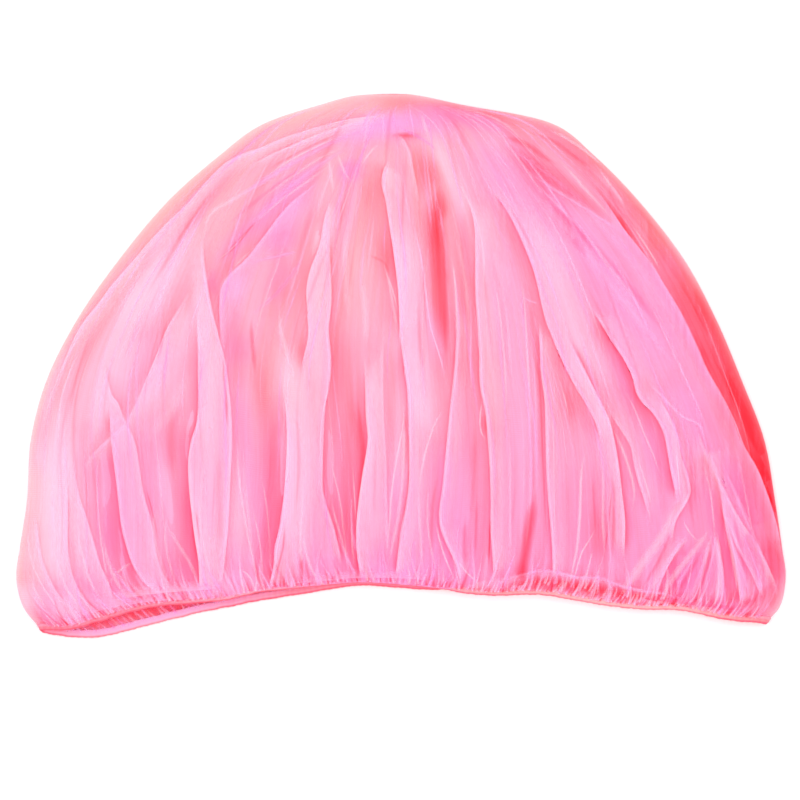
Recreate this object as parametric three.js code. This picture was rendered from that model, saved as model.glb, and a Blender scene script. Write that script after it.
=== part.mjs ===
// Stroller mosquito net: a gathered cap of pink tulle with an elastic binding round its mouth,
// laid out flat and folded in two on a surface, the mouth towards -Y and the crest towards +Y.
// Millimetres, +Z up. Depths are measured from the crest towards the mouth.

import * as THREE from 'three';

// ---------- Driving dimensions ----------

const WALL = 1.5; // thickness of the solid that stands for the tulle
const FOLD_RADIUS = 5; // of the wall's middle, where the front layer turns under at the outline
const SHOULDER = 70; // how far in from the outline the front layer takes to rise

const BINDING = {
  height: 8,
  thickness: 3.7,
  grip: 3.6, // how far the net's edge goes in
  gap: 0.3, // each side of the net's edge in the binding
  room: 0.8, // under the net's edge, in the binding's fold
};

// How far the front layer stands above the folded edge, at shares of the way from hem to crest.
const LOFT = [
  { way: 0, rise: 3 },
  { way: 0.08, rise: 17 },
  { way: 0.2, rise: 32 },
  { way: 0.42, rise: 36 },
  { way: 0.7, rise: 27 },
  { way: 1, rise: 12 },
];

// Half widths of the folded net, left and right of the crest.
const OUTLINE = [
  { depth: 0, left: 0, right: 0 },
  { depth: 10, left: 79, right: 62 },
  { depth: 32, left: 143, right: 162 },
  { depth: 63, left: 185, right: 201 },
  { depth: 109, left: 237, right: 246 },
  { depth: 171, left: 289, right: 294 },
  { depth: 233, left: 332, right: 327 },
  { depth: 295, left: 363, right: 353 },
  { depth: 356, left: 379, right: 376 },
  { depth: 418, left: 383, right: 387 },
  { depth: 465, left: 390, right: 394 },
  { depth: 497, left: 394, right: 398 },
  { depth: 527, left: 387, right: 392 },
];
const TIPS = {
  left: { x: -370, depth: 549 },
  right: { x: 380, depth: 541 },
};

// Depths of the net's edge between the tips, on the front and the back layer.
const HEM = [
  { x: -338, front: 546, back: 554 },
  { x: -309, front: 536, back: 553 },
  { x: -258, front: 520, back: 542 },
  { x: -206, front: 515, back: 529 },
  { x: -144, front: 511, back: 517 },
  { x: -103, front: 507, back: 511 },
  { x: -41, front: 502, back: 502 },
  { x: 0, front: 504, back: 504 },
  { x: 41, front: 508, back: 506 },
  { x: 93, front: 513, back: 496 },
  { x: 144, front: 512, back: 487 },
  { x: 206, front: 522, back: 494 },
  { x: 247, front: 527, back: 504 },
  { x: 288, front: 528, back: 515 },
  { x: 340, front: 538, back: 532 },
];

// The front layer's main folds. hem, middle and crest say where a fold runs, as shares of the way
// from the left edge to the right; from and to are where it starts and ends, as shares of the way
// from hem to crest; left and right are its flanks in mm, the narrower one the steeper.
const FOLDS = [
  { hem: 0.06, middle: 0.03, crest: 0.06, from: 0.03, to: 0.62, rise: 4, left: 9, right: 14 },
  { hem: 0.2, middle: 0.11, crest: 0.05, from: 0.03, to: 0.6, rise: 8, left: 13, right: 22 },
  { hem: 0.228, middle: 0.2, crest: 0.1, from: 0.03, to: 0.66, rise: 9, left: 10, right: 20 },
  { hem: 0.315, middle: 0.25, crest: 0.15, from: 0.05, to: 0.6, rise: 5, left: 20, right: 11 },
  { hem: 0.325, middle: 0.375, crest: 0.36, from: 0.03, to: 0.74, rise: 10, left: 10, right: 20 },
  { hem: 0.44, middle: 0.405, crest: 0.37, from: 0.05, to: 0.6, rise: 5, left: 18, right: 10 },
  { hem: 0.445, middle: 0.455, crest: 0.45, from: 0.03, to: 0.55, rise: 6, left: 10, right: 16 },
  { hem: 0.495, middle: 0.508, crest: 0.45, from: 0.03, to: 0.86, rise: 9, left: 10, right: 24 },
  { hem: 0.56, middle: 0.585, crest: 0.6, from: 0.03, to: 0.78, rise: 8, left: 18, right: 10 },
  { hem: 0.615, middle: 0.628, crest: 0.655, from: 0.03, to: 0.84, rise: 9, left: 10, right: 22 },
  { hem: 0.69, middle: 0.725, crest: 0.66, from: 0.05, to: 0.78, rise: 6, left: 20, right: 12 },
  { hem: 0.8, middle: 0.745, crest: 0.6, from: 0.03, to: 0.86, rise: 9, left: 12, right: 24 },
  { hem: 0.865, middle: 0.81, crest: 0.74, from: 0.05, to: 0.7, rise: 6, left: 11, right: 18 },
  { hem: 0.93, middle: 0.895, crest: 0.82, from: 0.05, to: 0.66, rise: 5, left: 16, right: 10 },
  { hem: 0.985, middle: 0.95, crest: 0.85, from: 0.08, to: 0.84, rise: 5, left: 14, right: 9 },
];

// How finely each layer is divided from edge to edge, with closer steps where the wall turns under,
// and where the rings from hem to crest lie.
const COLUMNS = { front: 68, back: 18 };
const EDGE_STEPS = [0, 0.0005, 0.002, 0.0042, 0.007, 0.0125];
const ROWS = [
  0, 0.0065, 0.025, 0.06, 0.105, 0.16, 0.225, 0.3, 0.38, 0.46, 0.54, 0.62, 0.69, 0.755, 0.815,
  0.87, 0.915, 0.955, 0.982,
];

// Heights of the middle of the back layer's wall, on the surface and in the binding.
const LYING = WALL / 2;
const BOUND = BINDING.thickness / 2;

const COLOURS = { tulle: '#fd9fc4', elastic: '#fb8ea6' };

// ---------- Plan of the folded net ----------

function planCurve(points) {
  const places = points.map(([x, depth]) => new THREE.Vector3(x, -depth, 0));
  return new THREE.CatmullRomCurve3(places, false, 'centripetal');
}

const upwards = [...OUTLINE].reverse();
const leftTip = [TIPS.left.x, TIPS.left.depth];
const rightTip = [TIPS.right.x, TIPS.right.depth];
const leftEdge = planCurve([leftTip, ...upwards.map((row) => [-row.left, row.depth])]);
const rightEdge = planCurve([rightTip, ...upwards.map((row) => [row.right, row.depth])]);
const hems = {
  front: planCurve([leftTip, ...HEM.map((row) => [row.x, row.front]), rightTip]),
  back: planCurve([leftTip, ...HEM.map((row) => [row.x, row.back]), rightTip]),
};

// A place in the plan: across runs from the left edge to the right, way from the hem to the crest.
function planPoint(layer, across, way) {
  const left = leftEdge.getPointAt(way);
  const right = rightEdge.getPointAt(way);
  const hem = hems[layer].getPointAt(across);
  const chord = leftEdge.getPointAt(0).lerp(rightEdge.getPointAt(0), across);
  return left.lerp(right, across).addScaledVector(hem.sub(chord), 1 - way);
}

const outlinePoints = [
  ...leftEdge.getSpacedPoints(240),
  ...rightEdge.getSpacedPoints(240).reverse(),
];
const outlineLines = outlinePoints.slice(1).map(
  (end, index) => new THREE.Line3(outlinePoints[index], end),
);

function outlineDistance(place) {
  const nearest = new THREE.Vector3();
  let least = Infinity;
  for (const line of outlineLines) {
    line.closestPointToPoint(place, true, nearest);
    least = Math.min(least, nearest.distanceTo(place));
  }
  return least;
}

// How far in from the outline a place is: straight across at the mouth, where the binding keeps
// the wall from twisting, and the shortest way further up.
function insetFromOutline(layer, across, way) {
  const place = planPoint(layer, across, way);
  const straight = place.distanceTo(planPoint(layer, Math.round(across), way));
  const free = THREE.MathUtils.smoothstep(way, 0.01, 0.2);
  return THREE.MathUtils.lerp(straight, outlineDistance(place), free);
}

// ---------- Heights ----------

function between(rows, column, way) {
  const next = Math.max(1, rows.findIndex((row) => row.way >= way));
  const low = rows[next - 1];
  const high = rows[next];
  const share = THREE.MathUtils.smoothstep(way, low.way, high.way);
  return THREE.MathUtils.lerp(low[column], high[column], share);
}

// The line that a fold runs along: a parabola through its places at the hem, middle and crest.
function foldLine(fold, way) {
  const [hem, middle, crest] = [fold.hem, fold.middle, fold.crest];
  return hem + (4 * middle - 3 * hem - crest) * way + 2 * (hem + crest - 2 * middle) * way ** 2;
}

function foldRelief(across, way, width) {
  return FOLDS.reduce((height, fold) => {
    const aside = (across - foldLine(fold, way)) * width;
    const flank = aside < 0 ? fold.left : fold.right;
    const fadeIn = THREE.MathUtils.smoothstep(way, fold.from, fold.from + 0.1);
    const fadeOut = 1 - THREE.MathUtils.smoothstep(way, fold.to - 0.16, fold.to);
    return height + fold.rise * fadeIn * fadeOut * Math.exp(-((aside / flank) ** 2));
  }, 0);
}

// The two layers meet in a half round along the outline.
function foldRise(inset) {
  const inside = Math.max(0, FOLD_RADIUS - inset);
  return Math.sqrt(FOLD_RADIUS ** 2 - inside ** 2);
}

function wallPoint(layer, across, way) {
  const place = planPoint(layer, across, way);
  const inset = insetFromOutline(layer, across, way);
  const released = THREE.MathUtils.smoothstep(way, 0.01, 0.09);
  const foot = THREE.MathUtils.lerp(BOUND, LYING, released);
  const edge = foot + FOLD_RADIUS;
  if (layer === 'back') {
    place.z = edge - foldRise(inset);
    return place;
  }
  const width = rightEdge.getPointAt(way).x - leftEdge.getPointAt(way).x;
  const shoulder = 1 - Math.exp(-inset / SHOULDER);
  const loft = between(LOFT, 'rise', way) * shoulder;
  place.z = edge + foldRise(inset) + loft + foldRelief(across, way, width) * shoulder;
  return place;
}

// ---------- The wall's grid ----------

// Places from edge to edge of a layer, close together at the two edges where the wall turns.
// Near the crest, where the layer is narrow, they are spaced as round a circle.
function acrossPlaces(count, way) {
  const inner = EDGE_STEPS.at(-1);
  const places = EDGE_STEPS.slice(0, -1);
  for (let step = 0; step <= count; step += 1) {
    places.push(inner + ((1 - 2 * inner) * step) / count);
  }
  places.push(...EDGE_STEPS.slice(0, -1).reverse().map((step) => 1 - step));
  const roundness = THREE.MathUtils.smoothstep(way, 0.8, 1);
  return places.map((place, index) => {
    const round = (1 - Math.cos((Math.PI * index) / (places.length - 1))) / 2;
    return THREE.MathUtils.lerp(place, round, roundness);
  });
}

// One ring of the wall: over the front layer from left to right, and back under it.
function wallRing(way) {
  const front = acrossPlaces(COLUMNS.front, way);
  const back = acrossPlaces(COLUMNS.back, way).reverse().slice(1, -1);
  return [
    ...front.map((across) => wallPoint('front', across, way)),
    ...back.map((across) => wallPoint('back', across, way)),
  ];
}

const rings = ROWS.map(wallRing);
const crest = wallPoint('front', 0.5, 1);
const ringSize = rings[0].length;

function gridTriangles(rows, closedRows) {
  const triangles = [];
  const bands = closedRows ? rows : rows - 1;
  for (let row = 0; row < bands; row += 1) {
    const above = (row + 1) % rows;
    for (let column = 0; column < ringSize; column += 1) {
      const beside = (column + 1) % ringSize;
      const [a, b] = [row * ringSize + column, row * ringSize + beside];
      const [c, d] = [above * ringSize + beside, above * ringSize + column];
      triangles.push(a, b, c, a, c, d);
    }
  }
  return triangles;
}

// The wall without its thickness, as rings and a crest point, and the triangles between them.
const crestIndex = rings.length * ringSize;
const skinTriangles = gridTriangles(rings.length, false);
for (let column = 0; column < ringSize; column += 1) {
  const top = crestIndex - ringSize;
  skinTriangles.push(top + column, top + ((column + 1) % ringSize), crestIndex);
}

function meshGeometry(points, triangles) {
  const geometry = new THREE.BufferGeometry().setFromPoints(points);
  geometry.setIndex(triangles);
  geometry.computeVertexNormals();
  return geometry;
}

// At each place of the hem: along the meridian into the net, and square to the wall, outwards.
const hemFrames = rings[0].map((place, column) => {
  const last = rings[0].at(column - 1);
  const next = rings[0][(column + 1) % ringSize];
  const along = rings[1][column].clone().sub(place).normalize();
  const tangent = next.clone().sub(last).normalize();
  return { place, along, outward: tangent.cross(along).normalize() };
});

function wallNormals(skin) {
  const attribute = meshGeometry(skin, skinTriangles).getAttribute('normal');
  const normals = skin.map((_, index) => new THREE.Vector3().fromBufferAttribute(attribute, index));
  // The wall stands straight where the binding grips it.
  hemFrames.forEach((frame, column) => {
    normals[column] = frame.outward;
    normals[ringSize + column] = frame.outward;
  });
  return normals;
}

function netGeometry() {
  const skin = [...rings.flat(), crest];
  const normals = wallNormals(skin);
  const side = (distance) => skin.map(
    (place, index) => place.clone().addScaledVector(normals[index], distance),
  );
  const points = [...side(WALL / 2), ...side(-WALL / 2)];
  const triangles = [...skinTriangles];
  for (let corner = 0; corner < skinTriangles.length; corner += 3) {
    const [a, b, c] = skinTriangles.slice(corner, corner + 3);
    triangles.push(skin.length + a, skin.length + c, skin.length + b);
  }
  for (let column = 0; column < ringSize; column += 1) {
    const beside = (column + 1) % ringSize;
    const [outer, outerNext] = [column, beside];
    const [inner, innerNext] = [skin.length + column, skin.length + beside];
    triangles.push(inner, innerNext, outerNext, inner, outerNext, outer);
  }
  return meshGeometry(points, triangles);
}

// ---------- Binding ----------

// A strip folded over the net's edge: corners of its section as distances out of the wall's middle
// and along the meridian, in order round the section.
function bindingSection() {
  const face = BINDING.thickness / 2;
  const slot = WALL / 2 + BINDING.gap;
  const lip = BINDING.grip;
  const foot = lip - BINDING.height;
  return [
    { out: face, along: foot },
    { out: face, along: lip },
    { out: slot, along: lip },
    { out: slot, along: -BINDING.room },
    { out: -slot, along: -BINDING.room },
    { out: -slot, along: lip },
    { out: -face, along: lip },
    { out: -face, along: foot },
  ];
}

function bindingGeometry() {
  const section = bindingSection();
  const points = section.flatMap((corner) => hemFrames.map(({ place, along, outward }) => {
    const moved = place.clone().addScaledVector(outward, corner.out);
    return moved.addScaledVector(along, corner.along);
  }));
  return meshGeometry(points, gridTriangles(section.length, true));
}

// ---------- Assembly ----------

function cloth(name, geometry, colour) {
  const material = new THREE.MeshStandardMaterial({ color: colour, roughness: 0.85, metalness: 0 });
  const mesh = new THREE.Mesh(geometry, material);
  mesh.name = name;
  return mesh;
}

const strollerNet = new THREE.Group();
strollerNet.add(
  cloth('net', netGeometry(), COLOURS.tulle),
  cloth('elastic_binding', bindingGeometry(), COLOURS.elastic),
);

// The origin is on the surface, under the middle of the folded net.
const extent = new THREE.Box3().setFromObject(strollerNet, true);
const middle = extent.getCenter(new THREE.Vector3());
strollerNet.position.set(-middle.x, -middle.y, -extent.min.z);

export default strollerNet;
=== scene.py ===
import logging
import math
from dataclasses import dataclass, field
from enum import Enum

import bpy
import numpy as np
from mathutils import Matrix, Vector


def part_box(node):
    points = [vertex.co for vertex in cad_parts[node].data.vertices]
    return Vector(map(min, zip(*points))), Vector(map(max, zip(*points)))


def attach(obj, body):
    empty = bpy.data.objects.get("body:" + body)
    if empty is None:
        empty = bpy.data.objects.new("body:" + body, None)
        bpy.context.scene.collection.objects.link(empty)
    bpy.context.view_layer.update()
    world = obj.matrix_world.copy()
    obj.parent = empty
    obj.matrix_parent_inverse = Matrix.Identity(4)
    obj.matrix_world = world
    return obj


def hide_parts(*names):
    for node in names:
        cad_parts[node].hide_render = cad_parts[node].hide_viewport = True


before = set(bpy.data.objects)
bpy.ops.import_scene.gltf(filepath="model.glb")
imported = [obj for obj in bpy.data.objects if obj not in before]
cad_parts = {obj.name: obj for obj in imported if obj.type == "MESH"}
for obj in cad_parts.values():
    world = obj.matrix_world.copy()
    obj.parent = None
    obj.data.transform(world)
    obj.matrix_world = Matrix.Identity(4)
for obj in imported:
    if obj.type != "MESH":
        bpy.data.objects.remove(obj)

logging.basicConfig(level=logging.INFO, format="%(message)s")
log = logging.getLogger("stroller_net")

MM = 0.001
# pile is how deep and coral the cloth is: partly layers lying on one another, partly painted shade
# in hollows, troughs and beside folds
DRESS = ("sheen", "bloom", "pile")
Pair = tuple[float, float]
Colour = tuple[float, float, float]


# ---------- Tables ----------


def table(kind: type, *rows: tuple[float, ...]) -> tuple:
    """Makes one record of a kind from each row of values."""
    return tuple(kind(*row) for row in rows)


def at(text: str) -> tuple[Pair, ...]:
    """Reads the places of a line, each written as x,depth in mm from the crest."""
    return tuple(tuple(int(value) for value in place.split(",")) for place in text.split())


# ---------- Curves and steps ----------


def smooth_step(low: float, high: float, value: np.ndarray) -> np.ndarray:
    """Rises smoothly from 0 at low to 1 at high.

    Args:
        low: Where the rise starts.
        high: Where it ends.
        value: The values to look up.

    Returns:
        The eased shares, from 0 to 1.
    """
    share = np.clip((value - low) / (high - low), 0.0, 1.0)
    return share * share * (3.0 - 2.0 * share)


def taper(share: np.ndarray, start: float, end: float) -> np.ndarray:
    """Opens a line from nothing at its ends.

    Args:
        share: Shares of the line.
        start: The share over which it opens, or 0 where it starts open.
        end: The share over which it closes, or 0 where it ends open.

    Returns:
        How far it is open, from 0 to 1.
    """
    opened = smooth_step(0, start, share) if start else np.ones_like(share)
    return opened * (1 - smooth_step(1 - end, 1, share)) if end else opened


def to_the_right(ahead: np.ndarray) -> np.ndarray:
    """Turns directions in the plan to the right."""
    return np.stack([ahead[:, 1], -ahead[:, 0]], 1)


class PlanCurve:
    """A smooth line through points in the plan, walked by its length."""

    BATCH = 20000

    def __init__(self, points: list[Pair], steps: int = 24) -> None:
        """Samples a centripetal Catmull-Rom line.

        Args:
            points: The places it passes through, in metres.
            steps: Samples between each two of them.
        """
        given = np.array(points, float)
        padded = np.vstack([2 * given[0] - given[1], given, 2 * given[-1] - given[-2]])
        spans = [self._span(padded[first:first + 4], steps) for first in range(len(given) - 1)]
        self.points = np.vstack([*spans, given[-1:]])
        lengths = np.linalg.norm(np.diff(self.points, axis=0), axis=1)
        self.walked = np.concatenate([[0.0], np.cumsum(lengths)])

    @staticmethod
    def _span(knots: np.ndarray, steps: int) -> np.ndarray:
        """Samples the span between the middle two of four knots.

        Args:
            knots: Four neighbouring points.
            steps: The number of samples.

        Returns:
            The sampled points.
        """
        gaps = np.sqrt(np.linalg.norm(np.diff(knots, axis=0), axis=1))
        when = np.concatenate([[0.0], np.cumsum(gaps)])
        now = np.linspace(when[1], when[2], steps, endpoint=False)[:, None]

        def blend(low: int, high: int, start: np.ndarray, end: np.ndarray) -> np.ndarray:
            """Goes from start to end as the walk goes from knot low to knot high."""
            share = (now - when[low]) / (when[high] - when[low])
            return start + (end - start) * share

        first = blend(0, 1, knots[0], knots[1])
        second = blend(1, 2, knots[1], knots[2])
        third = blend(2, 3, knots[2], knots[3])
        return blend(1, 2, blend(0, 2, first, second), blend(1, 3, second, third))

    @property
    def length(self) -> float:
        """The line's length in metres."""
        return float(self.walked[-1])

    def at(self, share: np.ndarray) -> np.ndarray:
        """Finds places on the line.

        Args:
            share: Shares of its length.

        Returns:
            The places, one row each.
        """
        walk = np.asarray(share, float) * self.length
        return np.stack([np.interp(walk, self.walked, self.points[:, k]) for k in (0, 1)], -1)

    def measure(self, places: np.ndarray) -> tuple[np.ndarray, np.ndarray, np.ndarray]:
        """Measures places against the line.

        Args:
            places: Places in the plan, one row each.

        Returns:
            How far each lies to the right of the line, its share of the way along it, and the
            line's direction to the right there.
        """
        starts = self.points[:-1]
        steps = np.diff(self.points, axis=0)
        squares = (steps ** 2).sum(1)
        aside, share = np.empty(len(places)), np.empty(len(places))
        right = np.empty((len(places), 2))
        for first in range(0, len(places), self.BATCH):
            part = slice(first, first + self.BATCH)
            offset = places[part, None, :] - starts[None]
            along = np.clip((offset * steps).sum(2) / squares, 0.0, 1.0)
            gap = offset - along[..., None] * steps
            nearest = (gap ** 2).sum(2).argmin(1)
            rows = np.arange(len(nearest))
            step, reach = steps[nearest], gap[rows, nearest]
            side = step[:, 1] * reach[:, 0] - step[:, 0] * reach[:, 1]
            aside[part] = np.sign(side) * np.linalg.norm(reach, axis=1)
            walked = self.walked[nearest] + along[rows, nearest] * np.sqrt(squares[nearest])
            share[part] = walked / self.length
            right[part] = to_the_right(step / np.sqrt(squares[nearest])[:, None])
        return aside, share, right


# ---------- Plan of the folded net ----------


class Layer(Enum):
    """The two layers of the net as it lies folded."""

    FRONT = "front"
    BACK = "back"


@dataclass(frozen=True)
class OutlineRow:
    """Half widths of the folded net at a depth below the crest, in mm."""

    depth: float
    left: float
    right: float


@dataclass(frozen=True)
class HemRow:
    """Depths of the net's edge on the two layers, in mm."""

    x: float
    front: float
    back: float


@dataclass(frozen=True)
class Plan:
    """The outline and hem of the folded net, measured from the crest."""

    outline: tuple[OutlineRow, ...] = table(
        OutlineRow, (0, 0, 0), (1, 44, 19), (10, 79, 62), (32, 143, 162), (63, 185, 201),
        (109, 237, 246), (171, 289, 294), (233, 332, 327), (295, 363, 353), (356, 379, 376),
        (418, 383, 387), (465, 390, 394), (497, 394, 398), (527, 387, 392),
    )
    left_tip: Pair = (-370, 549)
    right_tip: Pair = (380, 541)
    hem: tuple[HemRow, ...] = table(
        HemRow, (-338, 548, 554), (-309, 540, 554), (-258, 526, 542), (-206, 521, 529),
        (-175, 518, 523), (-144, 511, 517), (-103, 507, 511), (-41, 502, 502), (0, 504, 504),
        (41, 508, 506), (93, 513, 496), (144, 512, 487), (206, 522, 494), (247, 527, 504),
        (288, 528, 515), (340, 538, 532),
    )
    wall: float = 1.5

    def __post_init__(self) -> None:
        """Draws the curves and finds the crest's place in the shared frame."""
        rows = self.outline[::-1]
        left = self._drawn([self.left_tip, *((-row.left, row.depth) for row in rows)])
        right = self._drawn([self.right_tip, *((row.right, row.depth) for row in rows)])
        _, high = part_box("net")
        wall = self.wall / 2 * MM
        crest = (high.x - wall - right.points[:, 0].max(), high.y - wall)
        object.__setattr__(self, "crest", np.array(crest))
        for curve in (left, right):
            curve.points += self.crest
        edges = {layer: self.line((
            self.left_tip, *((row.x, getattr(row, layer.value)) for row in self.hem),
            self.right_tip)) for layer in Layer}
        for name, value in (("left", left), ("right", right), ("edges", edges)):
            object.__setattr__(self, name, value)

    @staticmethod
    def _drawn(points: list[Pair]) -> PlanCurve:
        """Draws a curve through rows of x and depth in mm, about the crest."""
        return PlanCurve([(x * MM, -depth * MM) for x, depth in points])

    def line(self, points: tuple[Pair, ...]) -> PlanCurve:
        """Draws a line in the shared frame.

        Args:
            points: The places it passes through, as x and depth in mm from the crest.

        Returns:
            The line.
        """
        curve = self._drawn(list(points))
        curve.points += self.crest
        return curve

    def place(self, layer: Layer, across: np.ndarray, way: np.ndarray) -> np.ndarray:
        """Finds places of the folded net.

        Args:
            layer: Which layer's hem they belong to.
            across: Shares from the left edge to the right.
            way: Shares from the hem to the crest.

        Returns:
            The places in the plan.
        """
        left, right = self.left.at(way), self.right.at(way)
        share = across[..., None]
        chord = self.left.at(0.0) * (1 - share) + self.right.at(0.0) * share
        dip = (self.edges[layer].at(across) - chord) * (1 - way[..., None])
        return left * (1 - share) + right * share + dip

    def width(self, way: np.ndarray) -> np.ndarray:
        """The width of the folded net, in metres, at shares of the way from hem to crest."""
        return self.right.at(way)[..., 0] - self.left.at(way)[..., 0]

    def inset(self, places: np.ndarray) -> np.ndarray:
        """Finds how far in from the outline places lie.

        Args:
            places: Places in the plan.

        Returns:
            The distances in metres.
        """
        ring = np.vstack([self.left.points, self.right.points[::-1]])
        outline = PlanCurve([tuple(point) for point in ring[::6]], steps=1)
        return np.abs(outline.measure(places)[0])


# ---------- How the cloth is folded ----------


class Side(Enum):
    """The side on which the upper cloth of a pleat ends."""

    LEFT = -1
    RIGHT = 1


@dataclass(frozen=True)
class Pleat:
    """A fold in which the cloth lies over itself.

    line runs from hem to crest, as x and depth in mm; lap is how far the upper cloth lies over
    the lower. sheen and bloom are how pale and how lilac the upper cloth is, as far in from its
    edge as reach; the paleness is partly a painted highlight. rim is how bright the edge itself
    is, a painted highlight, and it also sets the painted shadow line just outside it.
    pile is how deep and coral the cloth is outside the edge, as far out as depth:
    partly the layers that lie beneath, partly painted shade in the hollow beside the fold. start
    and end are the shares over which it tapers.
    Where the lap is below LEAST, the cloth is only pinched.
    """

    LEAST = 7
    PINCHED = 5
    SLOPE = 1.52
    FOLD = 4
    PEAK = 1.6
    TURN = np.linspace(0, 1.6, 33)
    LIFT = 0.13
    PINCHED_LIFT = 0.4
    LAID_START = 0.16
    LAID_END = 0.22

    line: tuple[Pair, ...]
    edge: Side
    lap: float
    sheen: float
    reach: float
    rim: float
    pile: float
    depth: float
    bloom: float = 0.0
    start: float = 0.15
    end: float = 0.2

    @property
    def size(self) -> float:
        """Half the lap's spread on the unfolded cloth, in mm."""
        return max(self.lap, self.PINCHED) / 2 / self.SLOPE

    @property
    def rise(self) -> float:
        """How far the upper cloth stands over the lower, in mm."""
        return self.LIFT * self.lap if self.lap >= self.LEAST else self.PINCHED_LIFT

    def laid(self, share: np.ndarray) -> np.ndarray:
        """How far the cloth is laid over at shares of the line, which tapers more slowly."""
        start = max(self.start, self.LAID_START) if self.start else 0
        return taper(share, start, max(self.end, self.LAID_END))

    def overhang(self, laid: np.ndarray) -> np.ndarray:
        """Finds how far beyond the line the upper cloth ends.

        Args:
            laid: How far it is laid over, from 0 to 1.

        Returns:
            The distances in mm.
        """
        if self.lap < self.LEAST:
            return np.zeros_like(laid)
        turn = self.TURN
        return self.size * np.max(
            self.FOLD * laid[:, None] * turn * np.exp(-turn ** 2 / 2) - turn, axis=1, initial=0)


@dataclass(frozen=True)
class Crease:
    """A thin line where the cloth is pinched, in mm: pale and lilac, partly as painted highlight,
    or deep where it is full, partly as painted shade.
    """

    line: tuple[Pair, ...]
    width: float
    sheen: float = 0.0
    bloom: float = 0.0
    pile: float = 0.0
    start: float = 0.3
    end: float = 0.3


@dataclass(frozen=True)
class Swell:
    """A soft ridge or trough, in mm, with how much paler, deeper or fuller the cloth is there:
    the paleness is partly painted highlight, the depth partly painted shade, as in its troughs.

    left and right are how wide its flanks are. Where no start or end is given, it tapers over
    about TAPER mm.
    """

    TAPER = 46.35
    LEAST = 0.2
    MOST = 0.5

    line: tuple[Pair, ...]
    left: float
    right: float
    rise: float = 0.0
    sheen: float = 0.0
    bloom: float = 0.0
    pile: float = 0.0
    start: float | None = None
    end: float | None = None
    layer: Layer = Layer.FRONT

    def __post_init__(self) -> None:
        """Sets the tapers that are not given, from the line's length."""
        length = sum(math.dist(*ends) for ends in zip(self.line, self.line[1:]))
        share = round(min(self.MOST, max(self.LEAST, self.TAPER / length)), 2)
        for name in ("start", "end"):
            if getattr(self, name) is None:
                object.__setattr__(self, name, share)


@dataclass(frozen=True)
class Gathers:
    """Fine folds that run in from the hem, following the main ones, each with its own size."""

    layer: Layer
    count: int
    seed: int
    root: Pair
    reach: Pair
    width: Pair
    rise: Pair
    sheen: Pair
    bloom: Pair
    pile: Pair
    span: Pair = (0.0, 1.0)


@dataclass(frozen=True)
class Strands:
    """Fine pinched lines that follow the cloth's fall, each with its own size, in mm."""

    layer: Layer
    count: int
    seed: int
    root: Pair
    length: Pair
    width: Pair
    sheen: Pair = (0.0, 0.0)
    bloom: Pair = (0.0, 0.0)
    pile: Pair = (0.0, 0.0)
    lean: Pair = (-0.1, 0.1)
    span: Pair = (0.0, 1.0)
    start: float = 0.0
    end: float = 0.9


@dataclass(frozen=True)
class Tone:
    """How pale, lilac and deep a layer is at a share of the way from hem to crest."""

    way: float
    sheen: float
    bloom: float
    pile: float


TONES: dict[Layer, tuple[Tone, ...]] = {
    Layer.FRONT: table(
        Tone, (0, 0.25, 0.6, 0.25), (0.1, 0.2, 0.4, 0.1), (0.3, 0.15, 0.16, 0.04),
        (0.6, 0.12, 0.08, 0.02), (0.85, 0.12, 0.15, 0.06), (1, 0.1, 0.4, 0.2),
    ),
    Layer.BACK: table(
        Tone, (0, 0.1, 0.2, 0.15), (0.3, 0.06, 0.05, 0), (1, 0.02, 0.02, 0),
    ),
}


@dataclass(frozen=True)
class Flow:
    """Where a gather that starts at a share of the hem lies half way up and at the crest."""

    hem: float
    middle: float
    crest: float


@dataclass(frozen=True)
class Fall:
    """How the cloth falls from the crest to the hem, which its gathers follow."""

    flows: tuple[Flow, ...] = table(
        Flow, (0, 0, 0), (0.06, 0.03, 0.03), (0.13, 0.07, 0.05), (0.2, 0.13, 0.08),
        (0.23, 0.2, 0.12), (0.29, 0.27, 0.22), (0.33, 0.36, 0.4), (0.44, 0.42, 0.43),
        (0.495, 0.505, 0.46), (0.56, 0.58, 0.52), (0.615, 0.635, 0.58), (0.69, 0.7, 0.62),
        (0.78, 0.755, 0.66), (0.87, 0.84, 0.72), (0.94, 0.91, 0.8), (1, 1, 1),
    )

    def _line(self, way: float) -> tuple[np.ndarray, np.ndarray]:
        """Finds where the listed gathers lie.

        Args:
            way: The share of the way from hem to crest.

        Returns:
            Their shares of the hem, and their shares across at that way.
        """
        hem, middle, crest = (np.array([getattr(flow, key) for flow in self.flows])
                              for key in ("hem", "middle", "crest"))
        line = (hem + (4 * middle - 3 * hem - crest) * way
                + 2 * (hem + crest - 2 * middle) * way ** 2)
        return hem, np.maximum.accumulate(line)

    def across(self, hem: np.ndarray, way: float) -> np.ndarray:
        """Finds where gathers lie.

        Args:
            hem: The shares of the hem that they start from.
            way: The share of the way from hem to crest.

        Returns:
            Shares from the left edge to the right.
        """
        start, line = self._line(way)
        return np.interp(hem, start, line)

    def start(self, across: np.ndarray, way: np.ndarray) -> np.ndarray:
        """Finds the share of the hem from which the gather through each place starts.

        Args:
            across: Shares from the left edge to the right.
            way: Shares of the way from hem to crest.

        Returns:
            Shares of the hem.
        """
        found = np.empty_like(across)
        for row in np.unique(way):
            chosen = way == row
            hem, line = self._line(row)
            found[chosen] = np.interp(across[chosen], line, hem)
        return found


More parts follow.
